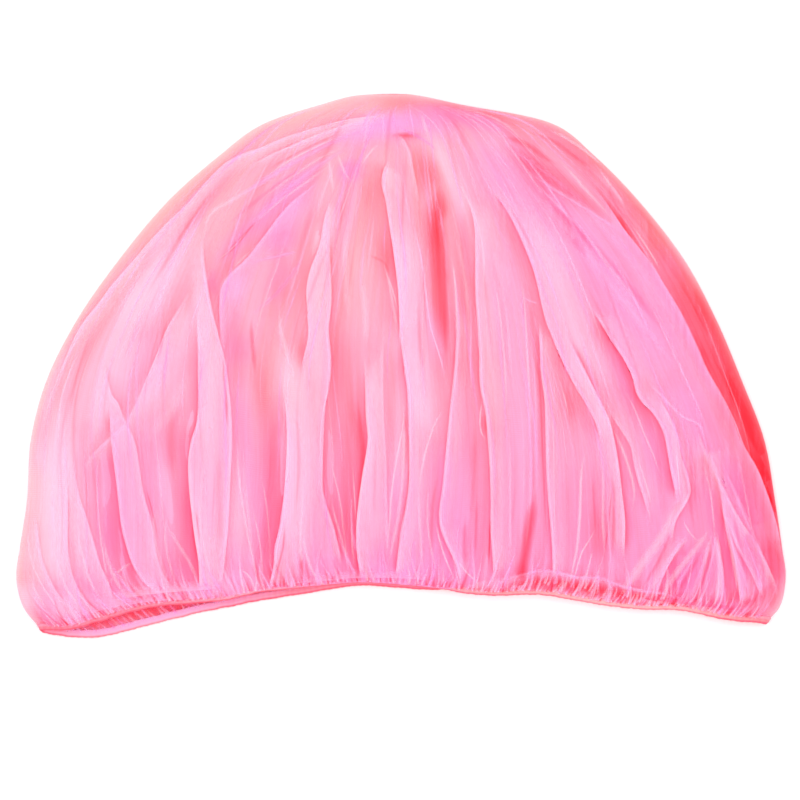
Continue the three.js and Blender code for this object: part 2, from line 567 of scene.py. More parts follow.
PLEATS: tuple[Pleat, ...] = (
    # rim of the left shoulder
    Pleat(at("-360,331 -353,300 -342,269 -327,238 -309,215 -294,195 -273,171 -258,153 -237,131 "
             "-216,111 -201,93 -180,72 -160,61 -142,55 -124,47 -101,39 -57,27 -8,20"), Side.LEFT,
          lap=6, sheen=0.75, reach=9, pile=0.1, depth=8, rim=0.7, start=0.2, end=0.06),
    # second line under it
    Pleat(at("-154,74 -129,61 -93,46 -52,31 -15,23"), Side.LEFT, lap=5, sheen=0.3, reach=6,
          pile=0.5, depth=5, rim=0.5),
    # left cross, going up right
    Pleat(at("-330,400 -321,379 -309,364 -297,353 -281,337 -270,318 -260,295 -247,264 -239,243 "
             "-229,225 -219,209 -209,192"), Side.LEFT, lap=6, sheen=0.5, reach=14, pile=0.35,
          depth=12, rim=0.4, start=0.25, end=0.25),
    # left cross, going up left
    Pleat(at("-220,521 -229,511 -241,495 -247,480 -251,459 -254,439 -260,418 -264,398 -267,377 "
             "-271,356 -278,341 -283,331 -288,317 -294,310 -299,289 -302,269"), Side.RIGHT, lap=6,
          sheen=0.5, reach=12, pile=0.45, depth=8, rim=0.6, start=0.05, end=0.15),
    # left fold at the hem
    Pleat(at("-242,521 -249,513 -263,501 -273,485 -280,465 -285,444 -288,418 -290,398 -294,367 "
             "-296,346 -297,320"), Side.LEFT, lap=8, sheen=0.6, bloom=0.2, reach=18, pile=0.7,
          depth=14, rim=0.9, start=0.05, end=0.1),
    # left fan 1
    Pleat(at("-293,525 -297,506 -306,485 -312,465 -321,434 -328,413 -331,396 -331,356"), Side.RIGHT,
          lap=5, sheen=0.6, reach=10, pile=0.4, depth=8, rim=0.8, start=0.1, end=0.3),
    # left fan 2
    Pleat(at("-319,524 -327,513 -335,495 -340,470 -340,439 -340,408 -339,387"), Side.RIGHT, lap=5,
          sheen=0.5, reach=8, pile=0.45, depth=6, rim=0.7, start=0.1, end=0.3),
    # left fan 3
    Pleat(at("-340,526 -352,511 -366,480 -371,449 -373,423"), Side.RIGHT, lap=5, sheen=0.4, reach=8,
          pile=0.2, depth=6, rim=0.6, start=0.1, end=0.3),
    # left band, left side
    Pleat(at("-204,514 -205,506 -206,480 -210,454 -213,428 -215,408 -216,377 -213,356 -207,336 "
             "-206,274 -207,212"), Side.LEFT, lap=9, sheen=0.8, reach=16, pile=1, depth=16, rim=1.1,
          start=0.05, end=0.25),
    # left band, right side
    Pleat(at("-183,513 -179,480 -175,439 -173,398 -171,356 -173,315 -178,276 -185,248 -192,220 "
             "-197,192 -200,169 -201,135"), Side.RIGHT, lap=6, sheen=0.6, reach=12, pile=0.4,
          depth=7, rim=0.9, start=0.08, end=0.12),
    # pale fold, left side low
    Pleat(at("-134,507 -129,485 -127,465 -123,449 -119,423 -116,387 -115,356 -116,325 -119,295"),
          Side.LEFT, lap=11, sheen=0.9, reach=16, pile=1, depth=12, rim=1, start=0.05, end=0.35),
    # pale fold, left side high
    Pleat(at("-103,293 -98,271 -93,248 -94,222 -95,202 -91,181 -84,163 -80,148 -77,130 -72,114 "
             "-66,103"), Side.LEFT, lap=9, sheen=0.5, reach=12, pile=0.5, depth=14, rim=0.4,
          start=0.2, end=0.15),
    # pale fold, right side
    Pleat(at("-58,485 -62,465 -67,444 -74,423 -78,406 -78,377 -77,346 -76,325 -72,300 -70,274 "
             "-72,243 -69,212 -70,181 -71,150 -72,125"), Side.RIGHT, lap=8, sheen=0.4, reach=12,
          pile=0.75, depth=16, rim=0.7, start=0.05, end=0.2),
    # second pale fold, left side
    Pleat(at("-39,497 -43,475 -44,449 -42,423 -37,387 -33,364 -32,353 -34,331 -35,295 -37,264"),
          Side.LEFT, lap=11, sheen=0.8, reach=11, pile=0.9, depth=10, rim=1.1, start=0.05, end=0.3),
    # second pale fold, right side
    Pleat(at("-8,480 -11,449 -12,418 -13,377 -15,346 -16,305 -16,274 -15,238"), Side.RIGHT, lap=5,
          sheen=0.3, reach=8, pile=0.3, depth=8, rim=0.4),
    # long pale fold
    Pleat(at("1,264 0,222 -2,192 -6,161 -10,135 -14,109 -18,91 -15,76 -11,69"), Side.LEFT, lap=12,
          sheen=1, reach=15, pile=1, depth=12, rim=0.8, start=0.2, end=0.06),
    # long pale fold, low
    Pleat(at("-4,497 -1,470 2,447 7,423 10,398 10,346 9,305 6,284 3,264 1,233"), Side.LEFT, lap=8,
          sheen=0.6, reach=14, pile=0.85, depth=5, rim=1, start=0.05, end=0.2),
    # short curl at the crest
    Pleat(at("22,116 18,94 14,73 11,58 5,47 0,41"), Side.RIGHT, lap=6, sheen=0.3, reach=6, pile=0.4,
          depth=8, rim=0.5, start=0.3, end=0.1),
    # right of the deep trough
    Pleat(at("63,504 57,480 48,461 42,444 41,428 44,408 47,377 50,346 53,315 56,289 58,264 59,233 "
             "57,202"), Side.LEFT, lap=8, sheen=0.6, reach=9, pile=0.5, depth=7, rim=1.1,
          start=0.05, end=0.15),
    # fold right of it
    Pleat(at("97,501 96,475 94,449 94,418 93,387 91,356 88,325 83,300 82,264 80,233 78,202 78,161 "
             "77,135 72,114 66,99"), Side.LEFT, lap=8, sheen=0.7, reach=11, pile=0.6, depth=10,
          rim=1.1, start=0.05, end=0.1),
    # great right fold
    Pleat(at("208,365 203,343 194,323 180,300 167,274 158,253 150,233 145,212 139,186 132,166 "
             "124,147 113,125 103,110 93,99 83,89"), Side.LEFT, lap=7, sheen=0.7, bloom=0.15,
          reach=20, pile=0.85, depth=9, rim=0.9, start=0.1, end=0.22),
    # upright fold under it
    Pleat(at("158,499 157,465 153,418 151,387 150,346 149,315 145,284 144,259 142,233"), Side.LEFT,
          lap=8, sheen=0.6, reach=9, pile=0.6, depth=5, rim=1.1, start=0.05, end=0.1),
    # right wedge 1, left
    Pleat(at("231,480 232,439 229,413 226,387 222,362 216,336 206,315 196,295 183,269 170,243"),
          Side.RIGHT, lap=6, sheen=0.7, reach=12, pile=1.1, depth=4, rim=0.9, start=0.1, end=0.15),
    # right wedge 1, right
    Pleat(at("260,449 255,431 250,413 245,398 241,382 237,362 229,348 218,331 209,310"), Side.LEFT,
          lap=6, sheen=0.4, reach=12, pile=0.5, depth=5, rim=0.6, start=0.3, end=0.3),
    # right wedge 2
    Pleat(at("285,421 282,403 278,385 275,367 271,348 260,328 249,317 243,307 239,291 229,271 "
             "218,255 206,235 196,220"), Side.LEFT, lap=7, sheen=0.6, bloom=0.2, reach=14, pile=1.2,
          depth=8, rim=0.9, start=0.1, end=0.12),
    # right fork
    Pleat(at("280,465 284,439 293,423 299,410 296,392 289,372 286,351 276,328 263,307"), Side.RIGHT,
          lap=5, sheen=0.6, reach=8, pile=0.45, depth=6, rim=0.9),
    # right wedge 3
    Pleat(at("351,526 348,501 343,475 338,454 333,434 330,413 327,398 321,382 314,365"), Side.LEFT,
          lap=7, sheen=0.55, bloom=0.2, reach=13, pile=1, depth=10, rim=0.8, start=0.05, end=0.06),
    # line to the right tip
    Pleat(at("391,515 384,495 376,478 366,459 355,444 345,428 335,408 323,385 312,359 306,341"),
          Side.RIGHT, lap=5, sheen=0.45, reach=12, pile=0.3, depth=8, rim=0.8),
    # edge of the right shoulder
    Pleat(at("394,480 390,449 381,418 369,387 355,362 345,336 332,310 317,284 306,259 288,222 "
             "273,197 260,176 247,159 232,140 218,119 206,102 194,87"), Side.RIGHT, lap=8,
          sheen=0.3, bloom=0.35, reach=14, pile=1.8, depth=14, rim=0.3, start=0.08, end=0.15),
    # fold to the tip 1
    Pleat(at("375,525 363,495 348,468 336,439 325,413"), Side.LEFT, lap=5, sheen=0.5, bloom=0.35,
          reach=10, pile=0.35, depth=7, rim=0.7, start=0.2, end=0.3),
    # fold to the tip 2
    Pleat(at("332,527 334,501 330,472 322,447"), Side.RIGHT, lap=5, sheen=0.45, bloom=0.3, reach=9,
          pile=0.4, depth=6, rim=0.7, start=0.2, end=0.3),
    # fold in the sweeps 1
    Pleat(at("263,521 272,495 284,472 299,451"), Side.RIGHT, lap=5, sheen=0.5, bloom=0.3, reach=10,
          pile=0.45, depth=7, rim=0.7, start=0.2, end=0.3),
    # fold in the sweeps 2
    Pleat(at("299,526 307,503 315,480 321,454"), Side.RIGHT, lap=5, sheen=0.45, bloom=0.3, reach=8,
          pile=0.45, depth=6, rim=0.7, start=0.2, end=0.3),
    # lilac fold, high left
    Pleat(at("-181,279 -183,248 -184,217 -182,199 -172,184 -158,171 -142,151 -128,132 -113,114 "
             "-93,97 -74,80"), Side.LEFT, lap=5, sheen=0.3, bloom=0.4, reach=12, pile=0.5, depth=14,
          rim=0.6, start=0.25, end=0.25),
)

CREASES: tuple[Crease, ...] = (
    # fine lines from the left rim to the middle
    Crease(at("-366,356 -363,331 -354,300 -335,259 -317,231"), 2.6, sheen=0.4),
    Crease(at("-350,372 -349,336 -347,313 -339,287 -328,264"), 3, sheen=0.4),
    Crease(at("-295,517 -301,490 -306,459 -309,423 -310,387 -305,367"), 2.6, sheen=0.48),
    Crease(at("-342,542 -355,523 -369,501 -379,475 -383,444"), 3.2, sheen=0.44),
    Crease(at("-358,536 -373,513 -384,485"), 3, sheen=0.32),
    Crease(at("-301,507 -289,491 -277,483 -268,479"), 4, sheen=0.24),
    Crease(at("-237,504 -244,483 -249,465 -252,446 -250,433 -245,425"), 4.5, sheen=0.28),
    Crease(at("-205,515 -209,495 -217,478 -227,462 -236,447 -244,435"), 5, sheen=0.32),
    Crease(at("-247,460 -251,439 -256,418 -261,400"), 1.8, pile=1),
    Crease(at("-190,519 -192,501 -198,475 -203,449 -206,418 -208,396"), 3.2, sheen=0.48),
    Crease(at("-204,465 -207,439 -209,418"), 2.6, pile=0.7),
    Crease(at("-176,348 -177,315 -180,279 -183,259"), 4, pile=1),
    Crease(at("-142,513 -147,490 -154,459 -161,418 -165,382 -166,346"), 3.4, sheen=0.56),
    Crease(at("-140,513 -141,480 -145,449 -151,423"), 2.2, sheen=0.56),
    Crease(at("-147,514 -153,497 -165,486"), 3, sheen=0.56),
    Crease(at("-81,387 -80,346 -78,328 -74,307 -71,284"), 2.4, sheen=0.72),
    Crease(at("-105,299 -114,271 -121,243 -123,220"), 7, sheen=0.36),
    Crease(at("-57,465 -60,423 -67,389 -72,367"), 2.2, sheen=0.48),
    Crease(at("-44,444 -46,408 -48,375"), 2, sheen=0.56),
    Crease(at("-14,480 -10,444 -8,413 -2,372 3,346 6,313"), 3, sheen=0.8),
    Crease(at("-1,225 -6,204 -14,181"), 2.2, sheen=0.64),
    Crease(at("52,311 42,271 32,238 27,202 23,171 16,140 11,117"), 3.4, sheen=0.64, bloom=0.32),
    Crease(at("50,279 47,248 44,212 41,171 38,135 36,99"), 24, pile=1.1),
    Crease(at("21,421 22,392 26,372 32,351 39,334 48,320"), 3.6, sheen=0.6),
    Crease(at("59,503 48,478 41,456 37,434"), 2.4, sheen=0.72),
    Crease(at("83,504 68,490 58,476"), 2.2, sheen=0.8),
    # fine lines right of the middle, and the sweeps to the hem
    Crease(at("90,357 84,347 83,332 85,315"), 2, sheen=0.8),
    Crease(at("92,486 93,459 94,431"), 2.8, pile=1.6),
    Crease(at("162,485 159,418 158,356 156,315 151,286"), 2.4, sheen=0.48),
    Crease(at("173,515 178,490 182,470 185,439 186,413 187,387 190,372 197,360"), 4.2, sheen=0.72),
    Crease(at("177,513 182,490 188,470 196,457 204,443"), 2.6, sheen=0.72),
    Crease(at("191,514 193,495 196,480 200,466"), 2.2, sheen=0.64),
    Crease(at("210,482 214,449 217,418 218,396"), 2.2, pile=0.8),
    Crease(at("260,426 253,400 247,382 243,365"), 2.6, sheen=0.48),
    Crease(at("270,396 259,367 250,346 241,323 229,300"), 3, sheen=0.4),
    Crease(at("289,421 287,398 285,377 282,356"), 2.2, sheen=0.72),
    Crease(at("224,524 237,501 250,482 263,465 273,449 279,434 284,418"), 13, sheen=0.48),
    Crease(at("247,523 263,501 276,480 288,465 301,453"), 8, sheen=0.48),
    Crease(at("269,525 276,506 288,488 301,472 312,457 322,442"), 9, sheen=0.48),
    Crease(at("298,529 306,511 312,490 317,470 322,449"), 6, sheen=0.56),
    Crease(at("322,534 328,511 330,490 327,465 322,447"), 7, sheen=0.48),
    Crease(at("307,460 298,450 291,437"), 2, sheen=0.64),
    Crease(at("325,465 323,439 319,408 313,382 309,365"), 2.4, sheen=0.4),
    # streaks on the right shoulder and high on the left, and the tent
    Crease(at("235,124 225,104 214,89 203,74"), 4, sheen=0.64),
    Crease(at("270,183 258,163 247,146 238,133"), 2.8, sheen=0.56),
    Crease(at("229,140 208,116 192,99 176,80 163,66"), 5, sheen=0.4),
    Crease(at("212,76 191,58 168,43 149,35"), 4, sheen=0.4),
    Crease(at("-191,176 -170,159 -154,140 -140,123"), 2.2, pile=1),
    Crease(at("-185,170 -167,153 -152,136 -142,124"), 1.8, pile=0.8),
    Crease(at("-188,173 -169,157 -153,138"), 1.8, sheen=0.72),
    Crease(at("-186,217 -181,196 -167,176 -154,164 -142,151"), 4, sheen=0.24),
    Crease(at("-49,93 -56,80 -61,68 -64,58"), 4, sheen=0.4),
    Crease(at("-67,104 -69,89 -71,76 -72,63"), 5, sheen=0.4),
    Crease(at("-40,74 -32,63 -22,52"), 4, sheen=0.4),
    # the crest, and what shows through beside it
    Crease(at("-142,66 -113,55 -82,41 -52,31 -23,24"), 2.6, sheen=0.64),
    Crease(at("-142,88 -113,69 -82,53 -55,41"), 2.8, sheen=0.56),
    Crease(at("-139,80 -103,60 -72,45 -56,39"), 3, pile=0.6),
    Crease(at("-93,38 -67,31 -39,26"), 3, pile=0.5),
    Crease(at("32,47 27,35 23,20"), 6, sheen=0.4),
    Crease(at("41,60 26,48 10,39 -2,33"), 5, bloom=0.4),
    Crease(at("84,212 87,173 81,135 68,104 52,73"), 2.6, sheen=0.48),
    Crease(at("110,336 108,274 101,212 93,173"), 3, sheen=0.4),
    Crease(at("136,367 134,315 131,264 128,212 122,179"), 3, sheen=0.48),
    Crease(at("-200,166 -199,138 -193,123 -175,111 -154,99 -124,80 -98,65 -72,55"), 6, sheen=0.4),
    Crease(at("-158,176 -142,171 -119,166 -100,161"), 5, sheen=0.2, bloom=0.36),
    Crease(at("-154,231 -142,220 -124,204 -103,176 -93,161"), 6, bloom=0.24, sheen=0.08),
    Crease(at("-147,290 -150,259 -152,229"), 6, pile=0.8),
    # lines above the hem and over the great right fold
    Crease(at("108,499 124,495 144,490 165,492 185,497 206,497 227,505 247,510 268,513 288,518 "
              "309,525"), 5, sheen=0.36, bloom=0.4, start=0.12, end=0.12),
    Crease(at("-146,512 -124,510 -103,508 -72,506 -41,504"), 3.4, pile=1.2),
    Crease(at("103,509 124,505 144,502 165,503 185,507 211,511 247,518 288,526 314,530"), 17,
           pile=1.5, start=0.12, end=0.2),
    Crease(at("153,480 150,428 147,367 145,315 142,274 139,233"), 3, pile=0.7),
    Crease(at("142,439 141,377 140,315 136,264 132,217"), 5, sheen=0.28, bloom=0.24),
    Crease(at("125,208 134,213 144,216"), 3, sheen=0.32, bloom=0.32),
    # edges and folds on the right shoulder
    Crease(at("206,83 191,71 175,60 160,49 144,43 130,39"), 6, pile=0.6),
    Crease(at("165,74 149,65 136,55 119,47 103,44"), 8, pile=0.8),
    Crease(at("255,169 239,144 227,122 216,101 206,89"), 5, pile=0.4),
    Crease(at("206,124 175,100 149,80 124,63 101,47"), 7, bloom=0.24, sheen=0.16),
    Crease(at("299,300 258,248 221,202 185,156 149,114 113,80"), 14, sheen=0.24, bloom=0.2),
    Crease(at("309,274 276,222 247,181 216,145 180,109 144,83"), 12, sheen=0.16, bloom=0.16),
    Crease(at("276,251 247,212 211,169 175,132 144,101"), 10, pile=0.5, bloom=0.16),
    Crease(at("196,173 180,150 165,128 152,109"), 12, pile=0.5, bloom=0.12),
    # streaks high on the left and in the centre
    Crease(at("-177,114 -142,91 -103,68 -62,47 -26,34"), 8, bloom=0.4, sheen=0.12),
    Crease(at("-165,150 -142,125 -115,99 -82,73 -46,52"), 9, bloom=0.4, sheen=0.2),
    Crease(at("-149,114 -118,91 -84,68 -52,52"), 4, sheen=0.32),
    Crease(at("-152,138 -128,115 -98,93 -68,71"), 4, sheen=0.32),
    Crease(at("-179,138 -154,116 -124,93 -91,71"), 6, pile=0.4, bloom=0.16),
    Crease(at("-84,132 -80,109 -72,87 -65,68"), 5, sheen=0.32, bloom=0.08),
    Crease(at("-49,243 -53,202 -55,161 -53,125"), 10, sheen=0.2),
    Crease(at("-33,264 -35,222 -41,181"), 9, sheen=0.28),
    Crease(at("-1,253 -6,217 -11,192 -16,173"), 4, sheen=0.4),
    Crease(at("-9,187 -15,174 -26,168 -35,165"), 4, pile=0.5),
    Crease(at("72,259 70,212 64,171 57,135 49,99"), 6, sheen=0.24),
    Crease(at("59,259 59,222 57,192 53,161"), 3.4, sheen=0.56),
    # the low folds in the middle, with the coral between them, partly painted shade
    Crease(at("-98,506 -100,480 -101,454 -99,418 -98,387"), 4, sheen=0.32),
    Crease(at("-80,505 -89,490 -96,470 -99,449"), 4, sheen=0.48),
    Crease(at("-99,509 -100,490 -101,472"), 7, pile=0.9),
    Crease(at("-128,511 -125,490 -119,465 -117,439"), 3, pile=0.8),
    Crease(at("-49,495 -56,468 -65,437 -71,413"), 3, sheen=0.4),
    Crease(at("-53,494 -55,465 -59,428 -64,398"), 3, sheen=0.4),
    Crease(at("-45,492 -48,465 -49,434 -48,403"), 2.6, sheen=0.32),
    Crease(at("-41,434 -39,398 -37,367 -40,336 -44,310"), 8, pile=0.8),
    Crease(at("-14,495 -7,465 0,428 4,387 5,346 4,305"), 5, sheen=0.48),
    Crease(at("-2,480 3,449 8,413 11,367"), 3, pile=0.6),
    Crease(at("6,392 7,356 6,320"), 4, pile=0.8),
    Crease(at("25,495 22,459 21,423 21,398"), 4, sheen=0.4),
    Crease(at("41,499 33,468 29,434 31,398"), 3, sheen=0.36),
    Crease(at("35,480 33,449 35,418 41,387"), 5, pile=0.4),
    Crease(at("68,490 67,465 68,434"), 6, pile=0.6),
    Crease(at("78,480 79,449 80,413"), 4, pile=0.6),
    Crease(at("115,490 114,449 114,398 113,346"), 5, sheen=0.32, bloom=0.16),
    Crease(at("129,480 133,439 135,398 135,356"), 5, sheen=0.32, bloom=0.16),
    Crease(at("239,431 241,408 235,382 225,356 215,336"), 4, sheen=0.48),
    Crease(at("212,480 209,439 209,398 206,367"), 4, sheen=0.36),
    Crease(at("219,480 220,449 220,413 217,382"), 5, pile=0.6),
    Crease(at("203,459 200,418 198,387"), 4, pile=0.5),
    # lines low on the right
    Crease(at("315,365 309,341 290,331 270,311 247,289"), 4, sheen=0.4, bloom=0.24),
    Crease(at("352,527 346,495 339,459 332,423"), 4, sheen=0.4),
    Crease(at("377,521 368,490 358,465 350,439"), 4, sheen=0.28, bloom=0.16),
    Crease(at("325,529 328,501 329,470 325,444"), 4, sheen=0.4),
    Crease(at("358,521 355,490 348,454 340,423"), 6, pile=0.5, bloom=0.16),
    Crease(at("303,521 312,501 318,480 321,457"), 5, pile=0.6),
    Crease(at("280,521 293,501 305,480 313,465"), 5, pile=0.5),
    Crease(at("248,511 262,488 272,468 279,449"), 5, pile=0.6),
    # clouds, fans and bands on the left
    Crease(at("-317,398 -316,372 -311,341 -305,310 -301,279"), 26, sheen=0.28),
    Crease(at("-338,521 -350,485 -356,444 -358,398"), 18, sheen=0.24),
    Crease(at("-311,517 -325,485 -333,449 -336,408"), 12, sheen=0.24),
    Crease(at("-304,523 -317,501 -325,475 -331,444"), 4, sheen=0.48),
    Crease(at("-280,519 -290,501 -299,480 -304,454"), 5, sheen=0.4),
    Crease(at("-268,521 -280,506 -290,490"), 4, sheen=0.4),
    Crease(at("-325,529 -340,511 -350,485 -355,459"), 4, sheen=0.4),
    Crease(at("-321,387 -309,364 -286,341 -263,313 -237,274 -214,248"), 24, sheen=0.24, bloom=0.08),
    Crease(at("-258,358 -239,331 -227,310 -210,284"), 18, sheen=0.18),
    Crease(at("-231,398 -234,367 -232,341 -222,315"), 12, pile=0.3),
    Crease(at("-199,511 -202,480 -204,439 -202,398 -197,356"), 4, sheen=0.36),
    Crease(at("-183,480 -184,439 -184,398 -183,356"), 8, pile=0.3),
    Crease(at("-132,495 -133,459 -136,423 -142,387"), 3, sheen=0.32),
    Crease(at("-149,480 -154,439 -158,398 -159,356"), 4, sheen=0.24),
    Crease(at("-227,511 -235,485 -240,459 -239,434"), 3.4, sheen=0.32),
    Crease(at("125,499 130,470 135,439 140,406"), 14, pile=0.9, start=0.05),
    # lilac lines low on the right
    Crease(at("363,525 354,495 343,465 332,434"), 6, sheen=0.4, bloom=0.4),
    Crease(at("386,506 373,475 357,439 343,406 328,372"), 6, sheen=0.36, bloom=0.4),
    Crease(at("309,527 315,501 323,470 325,444"), 5, sheen=0.4, bloom=0.32),
    Crease(at("375,527 371,501 363,476 353,454"), 5, sheen=0.32, bloom=0.32),
    Crease(at("279,523 288,501 299,482 306,468"), 5, sheen=0.32, bloom=0.4),
    # wide faint ones, which shift the tone of an area
    Crease(at("206,501 208,449 206,398 202,367"), 50, pile=0.22),
    Crease(at("381,526 376,490 363,449 345,408 328,356"), 60, pile=0.26, bloom=0.16),
    Crease(at("288,523 299,490 311,459"), 60, pile=0.24, bloom=0.16),
    Crease(at("237,517 299,525 366,533"), 26, pile=0.6, bloom=0.24),
    Crease(at("64,507 93,511 139,509"), 18, pile=0.45),
    Crease(at("-335,527 -288,519 -247,513 -206,510 -160,506"), 26, sheen=0.34, bloom=0.12),
    Crease(at("-340,511 -344,459 -340,398 -332,346"), 70, sheen=0.2),
    Crease(at("-5,490 -2,439 0,387 -2,336"), 50, sheen=0.11),
    Crease(at("-165,480 -167,428 -165,377 -167,336"), 36, sheen=0.11),
    Crease(at("-122,315 -136,264 -148,222"), 40, pile=0.14),
    Crease(at("235,142 206,122 175,101 149,82 124,64 99,49"), 26, pile=0.35),
    Crease(at("252,157 216,134 183,113 154,95 126,76"), 5, sheen=0.32, bloom=0.32),
    Crease(at("263,243 227,192 191,145 157,109 126,80"), 5, sheen=0.32, bloom=0.24),
    Crease(at("-134,505 -82,501 -36,497 21,499 57,502"), 20, sheen=0.26, bloom=0.2),
    Crease(at("191,66 218,99 247,138 263,161"), 26, sheen=0.18, bloom=0.12),
    Crease(at("-167,212 -165,264 -161,315"), 30, pile=0.28),
    Crease(at("-119,150 -124,192 -126,222"), 26, pile=0.3),
    Crease(at("-122,295 -124,325 -122,362"), 22, pile=0.25),
    Crease(at("-80,264 -82,305 -81,346"), 16, sheen=0.16),
    Crease(at("-354,543 -330,538 -304,530 -258,522 -206,518 -165,511"), 21, sheen=0.29, bloom=0.24),
    Crease(at("297,239 321,279 338,315 348,346"), 32, pile=0.5),
    Crease(at("348,527 368,518 379,505"), 18, pile=0.6),
    Crease(at("41,92 42,114 43,136"), 16, pile=0.5),
    Crease(at("88,99 95,140 101,181 106,222"), 34, sheen=0.13),
    Crease(at("-247,418 -249,454 -247,492"), 30, sheen=0.13),
    Crease(at("-206,89 -225,135 -242,186 -250,243 -252,274"), 40, sheen=0.14),
    Crease(at("-328,377 -330,428 -325,480"), 26, sheen=0.13),
    Crease(at("101,34 124,47 149,65"), 22, pile=0.28),
    Crease(at("62,508 93,512 134,511"), 12, pile=0.35),
)

